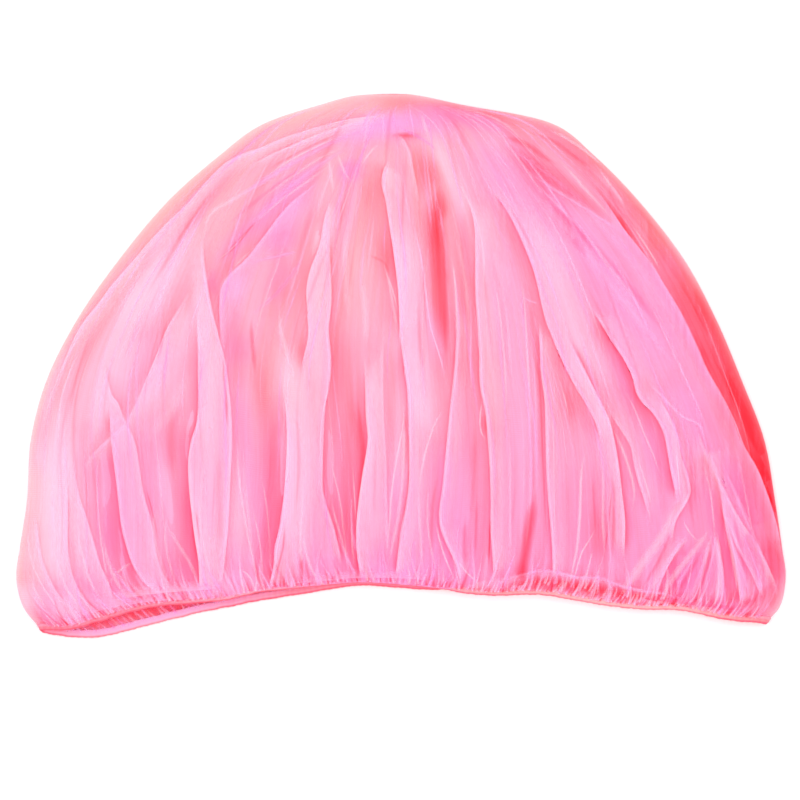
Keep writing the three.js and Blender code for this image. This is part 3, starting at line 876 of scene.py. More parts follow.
SWELLS: tuple[Swell, ...] = (
    # the left side, from rim to hem
    Swell(at("-336,336 -331,300 -319,264 -309,246 -288,212 -268,186 -237,153 -206,119 -185,99 "
             "-165,80 -132,64"), 6, 7, rise=-2, pile=0.45),
    Swell(at("-311,372 -307,315 -294,264 -276,222 -250,186 -218,148"), 16, 22, rise=3, sheen=0.4),
    Swell(at("-348,511 -356,459 -358,398 -352,346 -342,305"), 16, 12, sheen=0.35),
    Swell(at("-194,511 -194,439 -193,387 -194,356 -197,274 -203,202 -206,150"), 8, 10, rise=3,
          sheen=0.5),
    Swell(at("-191,215 -192,197 -190,176"), 5, 7, rise=-3, bloom=0.5, pile=0.7),
    Swell(at("-174,222 -169,202 -157,179"), 9, 12, rise=3, sheen=0.3, bloom=0.4),
    Swell(at("-142,506 -136,465 -132,418 -132,377 -134,346 -140,315 -148,279 -157,248"), 7, 10,
          rise=-4, pile=0.6),
    Swell(at("-142,243 -126,212 -119,181"), 14, 14, pile=0.4),
    Swell(at("-154,439 -158,377 -162,325 -165,284"), 8, 9, bloom=0.3, pile=0.2),
    Swell(at("-290,494 -295,475 -299,444 -301,413"), 9, 8, rise=-3, pile=0.6, bloom=0.4),
    Swell(at("-319,392 -311,369 -303,346 -298,328"), 6, 5, pile=0.6),
    Swell(at("-280,332 -272,305 -260,279 -249,253"), 9, 7, rise=-2, pile=0.35),
    Swell(at("-211,480 -220,418 -227,377 -229,346 -225,315"), 10, 8, rise=-3, pile=0.25),
    Swell(at("-215,519 -220,501 -227,480"), 9, 9, bloom=0.4, pile=0.1),
    Swell(at("-334,499 -333,470 -333,444 -332,426"), 3, 4, pile=0.6),
    Swell(at("-250,521 -261,506 -269,491"), 6, 6, pile=0.6),
    Swell(at("-338,542 -344,529 -348,519"), 5, 5, pile=0.6),
    Swell(at("-166,468 -168,428 -169,398 -167,362"), 4, 4, pile=0.5),
    Swell(at("-152,482 -157,449 -159,421"), 4, 4, pile=0.6),
    # the crest and what hangs from it, to the deep trough
    Swell(at("-77,53 -57,43 -31,33 0,27 31,19"), 9, 12, rise=2, bloom=0.8, sheen=0.2),
    Swell(at("-149,166 -118,125 -82,78"), 22, 20, bloom=0.45, sheen=0.15),
    Swell(at("-105,163 -121,150 -132,135"), 14, 14, bloom=0.5, pile=0.6),
    Swell(at("-48,95 -52,78 -57,64"), 10, 11, bloom=0.75, pile=0.6),
    Swell(at("-15,44 -2,43 11,43 28,45"), 2, 2.5, rise=-2, pile=2.4),
    Swell(at("-33,135 -31,104 -34,76"), 9, 11, pile=0.35),
    Swell(at("-10,202 -14,166 -20,135"), 8, 7, pile=0.7),
    Swell(at("-103,290 -100,269 -99,243"), 5, 4, pile=0.8),
    Swell(at("-56,480 -53,418 -50,367 -49,325 -55,295 -60,264 -61,217"), 11, 12, rise=-3, pile=0.4),
    Swell(at("-38,400 -39,367 -44,336 -52,307"), 5, 5, pile=0.8),
    Swell(at("-24,480 -25,418 -24,367 -25,315 -27,264"), 7, 7, rise=2, sheen=0.5),
    Swell(at("-9,423 -10,367 -8,325 -7,284 -9,243"), 5, 5, pile=0.3),
    Swell(at("52,309 49,284 46,253 43,212 41,171 38,140 37,104"), 12, 7, rise=-5, pile=0.85,
          end=0.15),
    Swell(at("40,114 32,89 24,68 18,49"), 11, 12, pile=1.3),
    Swell(at("68,315 68,274 68,212 65,156 57,114"), 7, 7, rise=-2, pile=0.6),
    Swell(at("80,202 75,145 62,106 46,73 33,47 25,29"), 6, 11, rise=2, sheen=0.5),
    # the middle, right of the trough
    Swell(at("79,447 77,408 78,367 80,331"), 5, 5, rise=-2, pile=0.8),
    Swell(at("89,355 88,341 85,327"), 3, 3, pile=1.1),
    Swell(at("101,444 100,408 99,377"), 4, 4, pile=0.5),
    Swell(at("-103,499 -102,439 -100,387 -101,346 -105,315 -113,279 -119,248"), 13, 13, rise=3,
          sheen=0.6),
    Swell(at("-83,315 -84,264 -82,202 -76,150 -69,114"), 12, 10, rise=3, sheen=0.3),
    Swell(at("33,362 22,315 14,264 8,212 2,173 -4,138"), 9, 13, rise=2, sheen=0.6, bloom=0.15),
    Swell(at("124,398 121,315 113,212 100,135"), 16, 18, bloom=0.25, sheen=0.1),
    Swell(at("103,356 99,295 93,233 89,173"), 9, 9, sheen=0.2),
    Swell(at("145,408 145,367 144,336 142,300 137,243 133,197"), 5, 5, pile=0.6),
    Swell(at("178,346 176,315 171,289"), 12, 11, pile=0.8),
    Swell(at("171,465 172,418 174,377"), 8, 7, pile=0.3),
    # the right side, to its tip
    Swell(at("309,315 258,243 196,161 129,94 57,37"), 34, 30, rise=3, bloom=0.5, sheen=0.1),
    Swell(at("212,315 180,248 165,212 150,166 124,123"), 10, 22, rise=3, sheen=0.55),
    Swell(at("371,480 345,408 314,346 280,284"), 18, 18, bloom=0.45, sheen=0.1),
    Swell(at("264,317 255,302 247,285"), 5, 5, pile=0.7),
    Swell(at("259,511 269,485 279,462 286,439"), 4, 5, pile=1),
    Swell(at("285,437 287,424 288,416"), 2.5, 2.5, pile=1),
    Swell(at("334,454 329,428 323,403 318,382"), 5, 4, pile=0.6),
    Swell(at("340,535 343,521 347,505"), 4, 3, pile=1.8),
    Swell(at("351,534 351,523 350,515"), 2.5, 2.5, pile=1.4),
    Swell(at("378,535 385,519 390,504"), 4, 4, pile=1),
    Swell(at("211,132 185,110 165,95 149,80 134,68 115,58"), 9, 10, rise=-2, pile=1.1),
    Swell(at("247,161 232,138 218,117 206,99 191,80 170,60 149,47 132,40"), 6, 6, rise=-2,
          pile=0.3),
    Swell(at("376,434 360,392 347,362 332,328 314,295"), 6, 6, pile=0.45),
    Swell(at("390,449 379,398 363,351 342,310 315,259 294,214 268,173"), 13, 17, pile=1.6,
          layer=Layer.BACK, start=0.1, end=0.3),
    Swell(at("309,243 247,125 196,63 144,29 82,14 21,8"), 16, 16, pile=0.5, layer=Layer.BACK,
          end=0.1),
    # the hem and the mouth
    Swell(at("125,499 130,470 135,439 139,413"), 6, 4, rise=-2, pile=1.6, start=0.05),
    Swell(at("115,505 144,504 180,507 211,511 247,517 276,522"), 8, 8, pile=0.8, start=0.05,
          end=0.1),
    Swell(at("-350,550 -309,541 -258,530 -206,525 -165,521 -113,515 -57,509"), 5, 9, pile=2.6,
          layer=Layer.BACK, start=0.1, bloom=0.12),
    # sweeps and hollows high on the left
    Swell(at("-142,165 -124,146 -103,123"), 11, 11, rise=-2, pile=0.6, bloom=0.15),
    Swell(at("-136,212 -122,190 -101,167"), 10, 10, pile=0.3, bloom=0.2),
    Swell(at("-192,181 -167,154 -142,128 -107,95 -72,66"), 9, 9, bloom=0.45, pile=0.2),
    Swell(at("-164,286 -164,264 -162,238"), 11, 12, rise=-2, bloom=0.35, pile=0.55),
    Swell(at("-283,253 -258,202 -235,166 -214,140 -201,125"), 16, 14, sheen=0.5, bloom=0.05),
    Swell(at("-304,356 -283,310 -258,274 -229,238"), 20, 20, bloom=0.15, sheen=0.18),
    # areas that are paler, partly as painted highlight, more lilac, and deeper, partly as painted
    # shade
    Swell(at("-363,521 -358,480 -352,428 -348,377 -342,336"), 30, 20, sheen=0.75),
    Swell(at("-366,540 -350,534 -330,525 -311,519"), 18, 14, sheen=1),
    Swell(at("-103,495 -57,488 0,488 52,492 103,499"), 22, 18, bloom=0.2),
    Swell(at("4,480 0,418 -2,367"), 14, 14, bloom=0.2),
    Swell(at("247,346 232,305 216,264 204,238"), 10, 12, bloom=0.35),
    Swell(at("258,521 268,439 258,356 227,264 175,161 124,78 82,27"), 70, 90, pile=0.08, bloom=0.1),
    Swell(at("100,387 98,336 95,284 92,233"), 11, 14, pile=0.35),
    Swell(at("180,166 160,125 139,89 118,60 98,40"), 14, 12, pile=0.8, bloom=0.1),
    Swell(at("392,480 386,439 375,392 358,341 338,295 315,248 293,208 270,173"), 15, 34, pile=0.95,
          start=0.12, end=0.25),
    Swell(at("386,521 391,495 391,465"), 14, 10, pile=0.5, bloom=0.2),
    Swell(at("41,171 39,135 34,97"), 9, 9, pile=0.8),
    Swell(at("383,521 379,480 363,428 343,382"), 22, 26, pile=0.8, bloom=0.25),
    Swell(at("309,521 299,495 288,470"), 34, 34, pile=0.45, bloom=0.45),
    Swell(at("-216,480 -258,418 -288,356 -299,315"), 50, 60, bloom=0.15),
    Swell(at("-237,336 -242,284 -237,243"), 40, 30, bloom=0.12, sheen=0.36),
    Swell(at("-366,356 -350,295 -330,248"), 20, 26, sheen=0.25),
    Swell(at("-29,264 -39,202 -43,130"), 22, 18, sheen=0.1),
    Swell(at("-165,480 -167,418 -167,367"), 10, 10, sheen=0.5),
    Swell(at("309,387 288,325 263,279"), 26, 30, bloom=0.25),
    Swell(at("0,501 2,459 4,418 4,367"), 16, 16, sheen=0.15, bloom=0.3),
    Swell(at("-232,490 -235,418 -231,356"), 16, 16, sheen=0.45, bloom=0.1),
    Swell(at("-80,173 -77,135 -69,109"), 8, 8, sheen=0.7),
    Swell(at("386,511 379,465 360,413 335,346 311,300"), 26, 22, pile=0.6),
    Swell(at("206,490 208,449 206,408"), 14, 14, pile=0.9),
    Swell(at("72,509 103,511 134,509 206,513 268,521 309,527 350,534"), 10, 10, pile=1, bloom=0.2),
    Swell(at("-41,10 0,9 52,16 103,25 134,35"), 8, 12, pile=0.55),
    Swell(at("47,135 43,114 38,97"), 8, 8, pile=1.1),
    Swell(at("299,202 280,173 263,148"), 12, 12, pile=0.1, bloom=0.2),
    Swell(at("-304,519 -268,511 -227,507 -175,503 -134,499"), 10, 14, sheen=0.35, bloom=0.2),
    Swell(at("-344,480 -350,418 -348,356 -338,305"), 14, 16, sheen=0.3),
    Swell(at("4,418 2,336 -2,284"), 10, 12, sheen=0.3),
    Swell(at("-52,295 -49,243 -47,202"), 16, 14, sheen=0.05),
    Swell(at("15,212 8,161 0,125"), 12, 14, sheen=0.3),
    Swell(at("247,517 309,525 371,527"), 12, 8, pile=0.8, bloom=0.25),
    Swell(at("165,125 134,73 108,45"), 14, 12, pile=0.45),
    # the two rims and tips
    Swell(at("383,534 393,511 394,480 387,439 381,398 371,356 358,310 345,272 330,243 309,207 "
             "288,173 263,136 247,117 227,97 206,73 165,37"), 7, 7, pile=0.35),
    Swell(at("-371,537 -391,511 -396,490 -389,459 -381,418 -373,356 -366,315 -350,274 -330,238 "
             "-304,197 -278,163 -247,125 -227,104 -196,78 -165,49 -134,27"), 6, 6, pile=0.12),
    Swell(at("-391,495 -381,516 -360,534"), 12, 12, sheen=0.8),
    Swell(at("366,521 348,470 332,418 317,372"), 20, 22, bloom=0.6),
    Swell(at("299,521 288,490 276,468"), 14, 14, pile=0.4, bloom=0.3),
    # more pale and lilac areas
    Swell(at("-5,12 41,18 82,26 124,41"), 7, 10, bloom=0.6),
    Swell(at("-49,39 0,31 41,33 72,47"), 10, 12, bloom=0.45),
    Swell(at("-214,367 -216,305 -218,248 -214,202"), 13, 12, sheen=0.35),
    Swell(at("-169,511 -167,459 -169,398"), 12, 12, sheen=0.3),
    Swell(at("-314,511 -325,470 -332,418 -330,377"), 14, 16, sheen=0.5),
    Swell(at("54,511 49,459 47,398 47,346"), 12, 14, bloom=0.35),
    Swell(at("48,295 37,243 29,202"), 8, 8, bloom=0.4, sheen=0.2),
    Swell(at("280,418 263,356 247,315"), 18, 16, bloom=0.35),
    Swell(at("-57,499 0,496 52,501"), 14, 8, bloom=0.5, sheen=0.1, start=0.43, end=0.43),
    # warmer areas, where less lilac shows
    Swell(at("-62,259 -57,192 -49,130"), 26, 26, bloom=-0.12),
    Swell(at("-122,356 -124,315 -128,274 -142,233"), 24, 24, bloom=-0.1),
    Swell(at("-358,527 -367,480 -365,428 -360,377"), 22, 30, bloom=-0.42),
)

GATHERS: tuple[Gathers, ...] = (
    Gathers(Layer.FRONT, 70, 3, root=(0, 0), reach=(0.03, 0.14), width=(2.6, 4.5), rise=(0.8, 2),
            sheen=(0, 0.2), bloom=(0, 0.3), pile=(0.1, 0.5)),
    Gathers(Layer.BACK, 60, 4, root=(0, 0), reach=(0.03, 0.2), width=(3, 6), rise=(0.5, 1.6),
            sheen=(0, 0.1), bloom=(0, 0.2), pile=(0.1, 0.6)),
    Gathers(Layer.FRONT, 50, 5, root=(0, 0.5), reach=(0.15, 0.5), width=(3, 8), rise=(0.3, 1.2),
            sheen=(0, 0.15), bloom=(0, 0.2), pile=(0, 0.2)),
    Gathers(Layer.BACK, 40, 6, root=(0, 0.6), reach=(0.2, 0.6), width=(4, 10), rise=(0.4, 1.6),
            sheen=(0, 0.1), bloom=(0, 0.2), pile=(0, 0.5)),
)

STRANDS: tuple[Strands, ...] = (
    Strands(Layer.FRONT, 170, 11, root=(0.001, 0.004), length=(12, 70), width=(2.2, 5),
            sheen=(0.2, 0.8), bloom=(0.1, 0.7), lean=(-0.3, 0.3)),
    # the second, third and fifth sets are deep coral lines, partly painted shade between the
    # gathers
    Strands(Layer.FRONT, 150, 12, root=(0.001, 0.004), length=(6, 22), width=(1.8, 4.2),
            pile=(0.5, 1.8), lean=(-0.2, 0.2)),
    Strands(Layer.FRONT, 60, 15, root=(0.001, 0.004), length=(15, 55), width=(2, 5),
            pile=(0.4, 1.2), lean=(-0.3, 0.3)),
    Strands(Layer.FRONT, 190, 13, root=(0, 0.75), length=(60, 260), width=(1.4, 4.5),
            sheen=(0.05, 0.32), bloom=(0, 0.45), lean=(-0.06, 0.06), start=0.4, end=0.5),
    Strands(Layer.FRONT, 70, 16, root=(0.05, 0.7), length=(60, 240), width=(2, 6.5),
            pile=(0.1, 0.45), lean=(-0.06, 0.06), start=0.4, end=0.5),
    Strands(Layer.BACK, 30, 14, root=(0.001, 0.004), span=(0.02, 0.26), length=(12, 45),
            width=(2, 5), sheen=(0, 0.35), bloom=(0.1, 0.6), lean=(-0.4, 0.1)),
    Strands(Layer.FRONT, 44, 17, span=(0.6, 0.93), root=(0.001, 0.003), length=(16, 32),
            width=(2.8, 5), sheen=(0.5, 1), bloom=(0.2, 0.6), lean=(-0.25, 0.1)),
)


@dataclass
class Cloth:
    """The net's skin while it is being folded: its places, shares and what the dressing needs."""

    layer: np.ndarray
    across: np.ndarray
    way: np.ndarray
    places: np.ndarray
    inset: np.ndarray
    flow: np.ndarray
    width: np.ndarray
    sheen: np.ndarray
    bloom: np.ndarray
    pile: np.ndarray


# ---------- Meshes ----------


def skin(name: str, points: np.ndarray, faces: list[tuple[int, ...]]) -> bpy.types.Mesh:
    """Makes a mesh with smooth faces."""
    mesh = bpy.data.meshes.new(name)
    mesh.from_pydata(points.tolist(), [], faces)
    mesh.polygons.foreach_set("use_smooth", [True] * len(faces))
    return mesh


def store(mesh: bpy.types.Mesh, name: str, values: np.ndarray) -> None:
    """Keeps one number per vertex."""
    mesh.attributes.new(name, "FLOAT", "POINT").data.foreach_set(
        "value", values.astype(np.float32).ravel())


def map_out(mesh: bpy.types.Mesh, name: str, places: np.ndarray) -> None:
    """Adds a UV map from one place per vertex."""
    corners = np.empty(len(mesh.loops), np.int32)
    mesh.loops.foreach_get("vertex_index", corners)
    layer = mesh.uv_layers.new(name=name)
    layer.data.foreach_set("uv", places[corners].astype(np.float32).ravel())


def placed(name: str, data: bpy.types.ID) -> bpy.types.Object:
    """Adds an object to the scene."""
    made = bpy.data.objects.new(name, data)
    bpy.context.scene.collection.objects.link(made)
    return made


# ---------- The net ----------


@dataclass
class Net:
    """The cap of tulle, folded in two, as one skin with a closed crest and an open mouth.

    Sizes are in mm. bound and lying are how high the lower layer lies at the hem and above it,
    and loft how high the upper one stands over it on the way up. A rim is where, in from the
    folded edge, something starts and is whole. cloth and gathered are the unfolded cloth's sizes
    in its maps, in metres.
    """

    plan: Plan
    fall: Fall
    front_columns: int = 560
    back_columns: int = 170
    rows: int = 130
    fold_radius: float = 3.6
    bound: float = 1.85
    lying: float = 1.2
    shoulder: float = 70
    edge_steps: tuple[float, ...] = (0, 0.0004, 0.0012, 0.0024, 0.004, 0.006, 0.0085)
    loft: tuple[Pair, ...] = ((0, 2), (0.08, 15), (0.2, 30), (0.42, 34), (0.7, 26), (1, 12))
    crest_from: float = 0.84
    crowding: float = 1.08
    swell_rim: Pair = (1, 12)
    pleat_rim: Pair = (2, 14)
    gather_rim: Pair = (1, 10)
    gather_reach: float = 0.03
    gather_waves: float = 22
    tone_rim: Pair = (6, 34)
    clearance: float = 0.4
    cloth: Pair = (1.5, 0.766)
    gathered: float = 0.79
    map_gap: float = 2.0
    hem: np.ndarray = field(init=False)
    hem_back: np.ndarray = field(init=False)
    above: np.ndarray = field(init=False)

    def across_places(self, count: int, way: float) -> np.ndarray:
        """Spaces a layer's columns along its fall, and as round a circle near the crest.

        Args:
            count: The number of spaces.
            way: The row's share of the way from hem to crest.

        Returns:
            Shares from the left edge to the right.
        """
        fine = np.array(self.edge_steps)
        middle = count - 2 * (len(fine) - 1)
        run = np.linspace(fine[-1], 1 - fine[-1], middle + 1)
        places = np.concatenate([fine[:-1], run, 1 - fine[:-1][::-1]])
        round_ones = (1 - np.cos(np.pi * np.arange(count + 1) / count)) / 2
        share = smooth_step(self.crest_from, 1.0, np.array(way))
        return self.fall.across(places, way) * (1 - share) + round_ones * share

    def rings(self) -> Cloth:
        """Lays out the unfolded skin in rings from hem to crest.

        Returns:
            The cloth, with its rings one after another and the crest last.
        """
        ways = np.linspace(0, 1, self.rows, endpoint=False) ** self.crowding
        across, way, back = [], [], []
        for row in ways:
            front = self.across_places(self.front_columns, row)
            under = self.across_places(self.back_columns, row)[::-1][1:-1]
            across += [front, under]
            way.append(np.full(len(front) + len(under), row))
            back += [np.zeros(len(front), bool), np.ones(len(under), bool)]
        across.append(np.array([0.5]))
        way.append(np.array([1.0]))
        back.append(np.array([False]))
        across_all, way_all, back_all = map(np.concatenate, (across, way, back))
        plan = np.where(back_all[:, None], *(
            self.plan.place(layer, across_all, way_all) for layer in (Layer.BACK, Layer.FRONT)))
        size = len(way_all)
        return Cloth(
            layer=back_all, across=across_all, way=way_all,
            places=np.column_stack([plan, np.zeros(size)]),
            inset=self._inset(plan, across_all, way_all),
            flow=self.fall.start(across_all, way_all),
            width=self.plan.width(way_all), **{name: np.zeros(size) for name in DRESS},
        )

    def _inset(self, plan: np.ndarray, across: np.ndarray, way: np.ndarray) -> np.ndarray:
        """Finds how far in from the folded edge places lie, straight across at the hem.

        Args:
            plan: The places in the plan.
            across: Their shares from the left edge to the right.
            way: Their shares of the way from hem to crest.

        Returns:
            The distances in metres.
        """
        straight = np.minimum(across, 1 - across) * self.plan.width(way)
        free = smooth_step(0.01, 0.2, way)
        return straight * (1 - free) + self.plan.inset(plan) * free

    @staticmethod
    def _inside(inset: np.ndarray, rim: Pair) -> np.ndarray:
        """Rises from 0 to 1 from one distance to another from the folded edge, in mm."""
        return smooth_step(rim[0] * MM, rim[1] * MM, inset)

    @staticmethod
    def _near(cloth: Cloth, layer: Layer, places: np.ndarray, line: PlanCurve,
              reach: float) -> np.ndarray:
        """Chooses the part of a layer round a line.

        Args:
            cloth: The cloth.
            layer: The layer.
            places: The places of the cloth in the plan.
            line: The line.
            reach: How far round it the part goes.

        Returns:
            Whether each place is in it.
        """
        low, high = line.points.min(0) - reach, line.points.max(0) + reach
        return ((cloth.layer == (layer is Layer.BACK))
                & (places > low).all(1) & (places < high).all(1))

    def raise_layers(self, cloth: Cloth) -> None:
        """Gives both layers their heights and turns them into each other along the outline.

        Args:
            cloth: The cloth, which is moved.
        """
        radius, back = self.fold_radius * MM, cloth.layer
        inside = np.maximum(0, radius - cloth.inset)
        turn = np.sqrt(radius ** 2 - inside ** 2)
        released = smooth_step(0.01, 0.09, cloth.way)
        foot = (self.bound + (self.lying - self.bound) * released) * MM
        ways, rises = np.array(self.loft).T
        loft = self._eased(cloth.way, ways, rises) * MM
        shoulder = 1 - np.exp(-cloth.inset / (self.shoulder * MM))
        cloth.places[:, 2] = foot + radius + np.where(back, -turn, turn + loft * shoulder)

    def tone(self, cloth: Cloth) -> None:
        """Gives both layers their even tones, fainter in the rim where the outline turns.

        Args:
            cloth: The cloth, which is dressed.
        """
        inside = 0.25 + 0.75 * self._inside(cloth.inset, self.tone_rim)
        for layer, tones in TONES.items():
            chosen = cloth.layer == (layer is Layer.BACK)
            ways = np.array([tone.way for tone in tones])
            for name in DRESS:
                values = np.array([getattr(tone, name) for tone in tones])
                level = self._eased(cloth.way[chosen], ways, values)
                getattr(cloth, name)[chosen] = level * (inside[chosen] if name != "pile" else 1)

    @staticmethod
    def _eased(way: np.ndarray, ways: np.ndarray, values: np.ndarray) -> np.ndarray:
        """Looks values up between rows, eased from row to row.

        Args:
            way: The shares of the way to look up.
            ways: The rows' shares of the way.
            values: The rows' values.

        Returns:
            The values found.
        """
        last = len(ways) - 2
        row = np.clip(np.searchsorted(ways, way, side="right") - 1, 0, last)
        share = np.clip((way - ways[row]) / (ways[row + 1] - ways[row]), 0, 1)
        return values[row] + (values[row + 1] - values[row]) * share * share * (3 - 2 * share)

    def fold_pleats(self, cloth: Cloth, pleats: tuple[Pleat, ...]) -> None:
        """Lays the cloth over itself along each pleat, or pinches it where the lap is small.

        Args:
            cloth: The cloth, which is moved.
            pleats: The pleats.
        """
        start = cloth.places[:, :2].copy()
        for pleat in pleats:
            curve = self.plan.line(pleat.line)
            size = pleat.size * MM
            near = self._near(cloth, Layer.FRONT, start, curve, 5 * size)
            aside, share, right = curve.measure(start[near])
            laid = pleat.laid(share) * self._inside(cloth.inset[near], self.pleat_rim)
            laid = laid * smooth_step(0.0, 0.05, cloth.way[near])
            turn = (aside + pleat.edge.value * pleat.overhang(laid) * MM) / size
            bell = np.exp(-turn ** 2 / 2)
            if pleat.lap >= Pleat.LEAST:
                cloth.places[near, :2] -= right * (Pleat.FOLD * size * turn * bell * laid)[:, None]
            over = -turn * pleat.edge.value
            cloth.places[near, 2] += pleat.rise * MM * laid * over * bell * Pleat.PEAK

    def raise_swells(self, cloth: Cloth, swells: tuple[Swell, ...]) -> None:
        """Raises or lowers the cloth softly along each swell.

        Args:
            cloth: The cloth, which is moved and dressed.
            swells: The ridges and troughs.
        """
        for swell in swells:
            curve = self.plan.line(swell.line)
            reach = 3 * max(swell.left, swell.right) * MM
            near = self._near(cloth, swell.layer, cloth.places[:, :2], curve, reach)
            aside, share, _ = curve.measure(cloth.places[near, :2])
            flank = np.where(aside < 0, swell.left, swell.right) * MM
            shape = np.exp(-(aside / flank) ** 2) * taper(share, swell.start, swell.end)
            inside = self._inside(cloth.inset[near], self.swell_rim)
            cloth.places[near, 2] += swell.rise * MM * shape * inside
            for name in DRESS:
                getattr(cloth, name)[near] += getattr(swell, name) * shape

    def draw_gathers(self, cloth: Cloth, gathers: Gathers) -> None:
        """Gathers the cloth into fine folds that die out one by one.

        Args:
            cloth: The cloth, which is moved and dressed.
            gathers: How many folds, how long, how wide and how high.
        """
        rng = np.random.default_rng(gathers.seed)
        chosen = cloth.layer == (gathers.layer is Layer.BACK)
        rows = np.flatnonzero(chosen)
        flow, way, width = cloth.flow[rows], cloth.way[rows], cloth.width[rows]
        inside = self._inside(cloth.inset[rows], self.gather_rim)
        first, last = gathers.span
        for number in range(gathers.count):
            hem = first + (last - first) * (number + rng.uniform(0.1, 0.9)) / gathers.count
            root, reach = rng.uniform(*gathers.root), rng.uniform(*gathers.reach)
            size = rng.uniform(*gathers.width) * MM
            rise, sheen, bloom, pile = (rng.uniform(*pair) for pair in (
                gathers.rise, gathers.sheen, gathers.bloom, gathers.pile))
            phase, sway = rng.uniform(0, 2 * np.pi), rng.uniform(0.3, 1.2)
            lean = rng.choice([-1.0, 1.0])
            near = ((np.abs(flow - hem) < self.gather_reach)
                    & (way >= root - 0.02) & (way < root + reach))
            offset = (flow[near] - hem) * width[near]
            offset += sway * 2 * MM * np.sin(way[near] * self.gather_waves + phase)
            rel = way[near] - root
            fade = (smooth_step(0, 0.03, rel) if root > 0 else 1.0) * (
                1 - smooth_step(reach * 0.35, reach, rel))
            turn = offset / size
            shape = np.exp(-turn ** 2) * fade * inside[near]
            index = rows[near]
            cloth.places[index, 2] += rise * MM * shape
            cloth.places[index, 0] += lean * 0.5 * size * turn * shape
            cloth.sheen[index] += sheen * shape
            cloth.bloom[index] += bloom * shape
            # deeper coral beside each gather, on the side it leans to: partly fuller cloth, partly
            # painted shade
            lower = np.exp(-(turn - 1.6 * lean) ** 2) * fade * inside[near]
            cloth.pile[index] += pile * lower

    def triangles(self) -> list[tuple[int, ...]]:
        """Lists the skin's faces, ring by ring, and the fan that closes the crest."""
        ring = self.front_columns + self.back_columns
        column = np.arange(ring)
        beside = (column + 1) % ring
        faces = []
        for row in range(self.rows - 1):
            low, top = row * ring, (row + 1) * ring
            faces.append(np.stack([low + column, low + beside, top + beside, top + column], 1))
        quads = [tuple(face) for face in np.vstack(faces).tolist()]
        top, crest = (self.rows - 1) * ring, self.rows * ring
        return quads + [(top + left, top + right, crest)
                        for left, right in zip(column.tolist(), beside.tolist())]

    def build(self) -> bpy.types.Object:
        """Lays, folds and gathers the cloth, and makes its mesh.

        Returns:
            The net's object.
        """
        cloth = self.rings()
        self.raise_layers(cloth)
        self.tone(cloth)
        self.raise_swells(cloth, SWELLS)
        self.fold_pleats(cloth, PLEATS)
        for gathers in GATHERS:
            self.draw_gathers(cloth, gathers)
        cloth.places[:, 2] = np.maximum(cloth.places[:, 2], self.clearance * MM)
        ring = self.front_columns + self.back_columns
        self.hem, self.hem_back = cloth.places[:ring], cloth.layer[:ring]
        self.above = cloth.places[2 * ring:3 * ring]
        mesh = skin("tulle_net", cloth.places, self.triangles())
        for name in DRESS:
            store(mesh, name, np.maximum(0, getattr(cloth, name)))
        store(mesh, "ground", np.ones(len(cloth.way)))
        store(mesh, "layer", cloth.layer.astype(float))
        width, tall = self.cloth
        apart = cloth.layer * self.map_gap
        for name, along in (("knit", (cloth.across - 0.5) * width),
                            ("gather", cloth.flow * self.gathered)):
            map_out(mesh, name, np.stack([along + apart, cloth.way * tall], 1))
        mesh.update()
        return placed("tulle_net", mesh)


# ---------- Edges of the pleats, creases and fine strands ----------


@dataclass
class Paths:
    """Lines that strips of laid-over cloth follow, with what each of their points carries."""

    GUIDES = ("wide", "shift", "even", "height", "under")

    points: list[np.ndarray] = field(default_factory=list)
    aside: list[np.ndarray] = field(default_factory=list)
    values: dict[str, list[np.ndarray]] = field(default_factory=dict)

    def add(self, points: np.ndarray, aside: np.ndarray, **values: object) -> None:
        """Adds a line.

        Args:
            points: Its points in the plan.
            aside: The direction in which its strip lies, at each point.
            values: What the points carry, one number for all or one each.
        """
        self.points.append(points)
        self.aside.append(aside)
        for name in (*self.GUIDES, *DRESS, "ground"):
            value = np.broadcast_to(values.get(name, 0.0), len(points))
            self.values.setdefault(name, []).append(np.array(value, float))

    def mesh(self, name: str) -> bpy.types.Mesh:
        """Makes a mesh of edges along the lines.

        Args:
            name: The mesh's name.

        Returns:
            The mesh, with the values as attributes.
        """
        flat = np.vstack(self.points)
        ends = set(np.cumsum([len(points) for points in self.points]).tolist())
        edges = [(k, k + 1) for k in range(len(flat) - 1) if k + 1 not in ends]
        mesh = bpy.data.meshes.new(name)
        mesh.from_pydata(np.column_stack([flat, np.zeros(len(flat))]).tolist(), edges, [])
        aside = np.column_stack([np.vstack(self.aside), np.zeros(len(flat))])
        mesh.attributes.new("aside", "FLOAT_VECTOR", "POINT").data.foreach_set(
            "vector", aside.astype(np.float32).ravel())
        for key, values in self.values.items():
            store(mesh, key, np.concatenate(values))
        return mesh


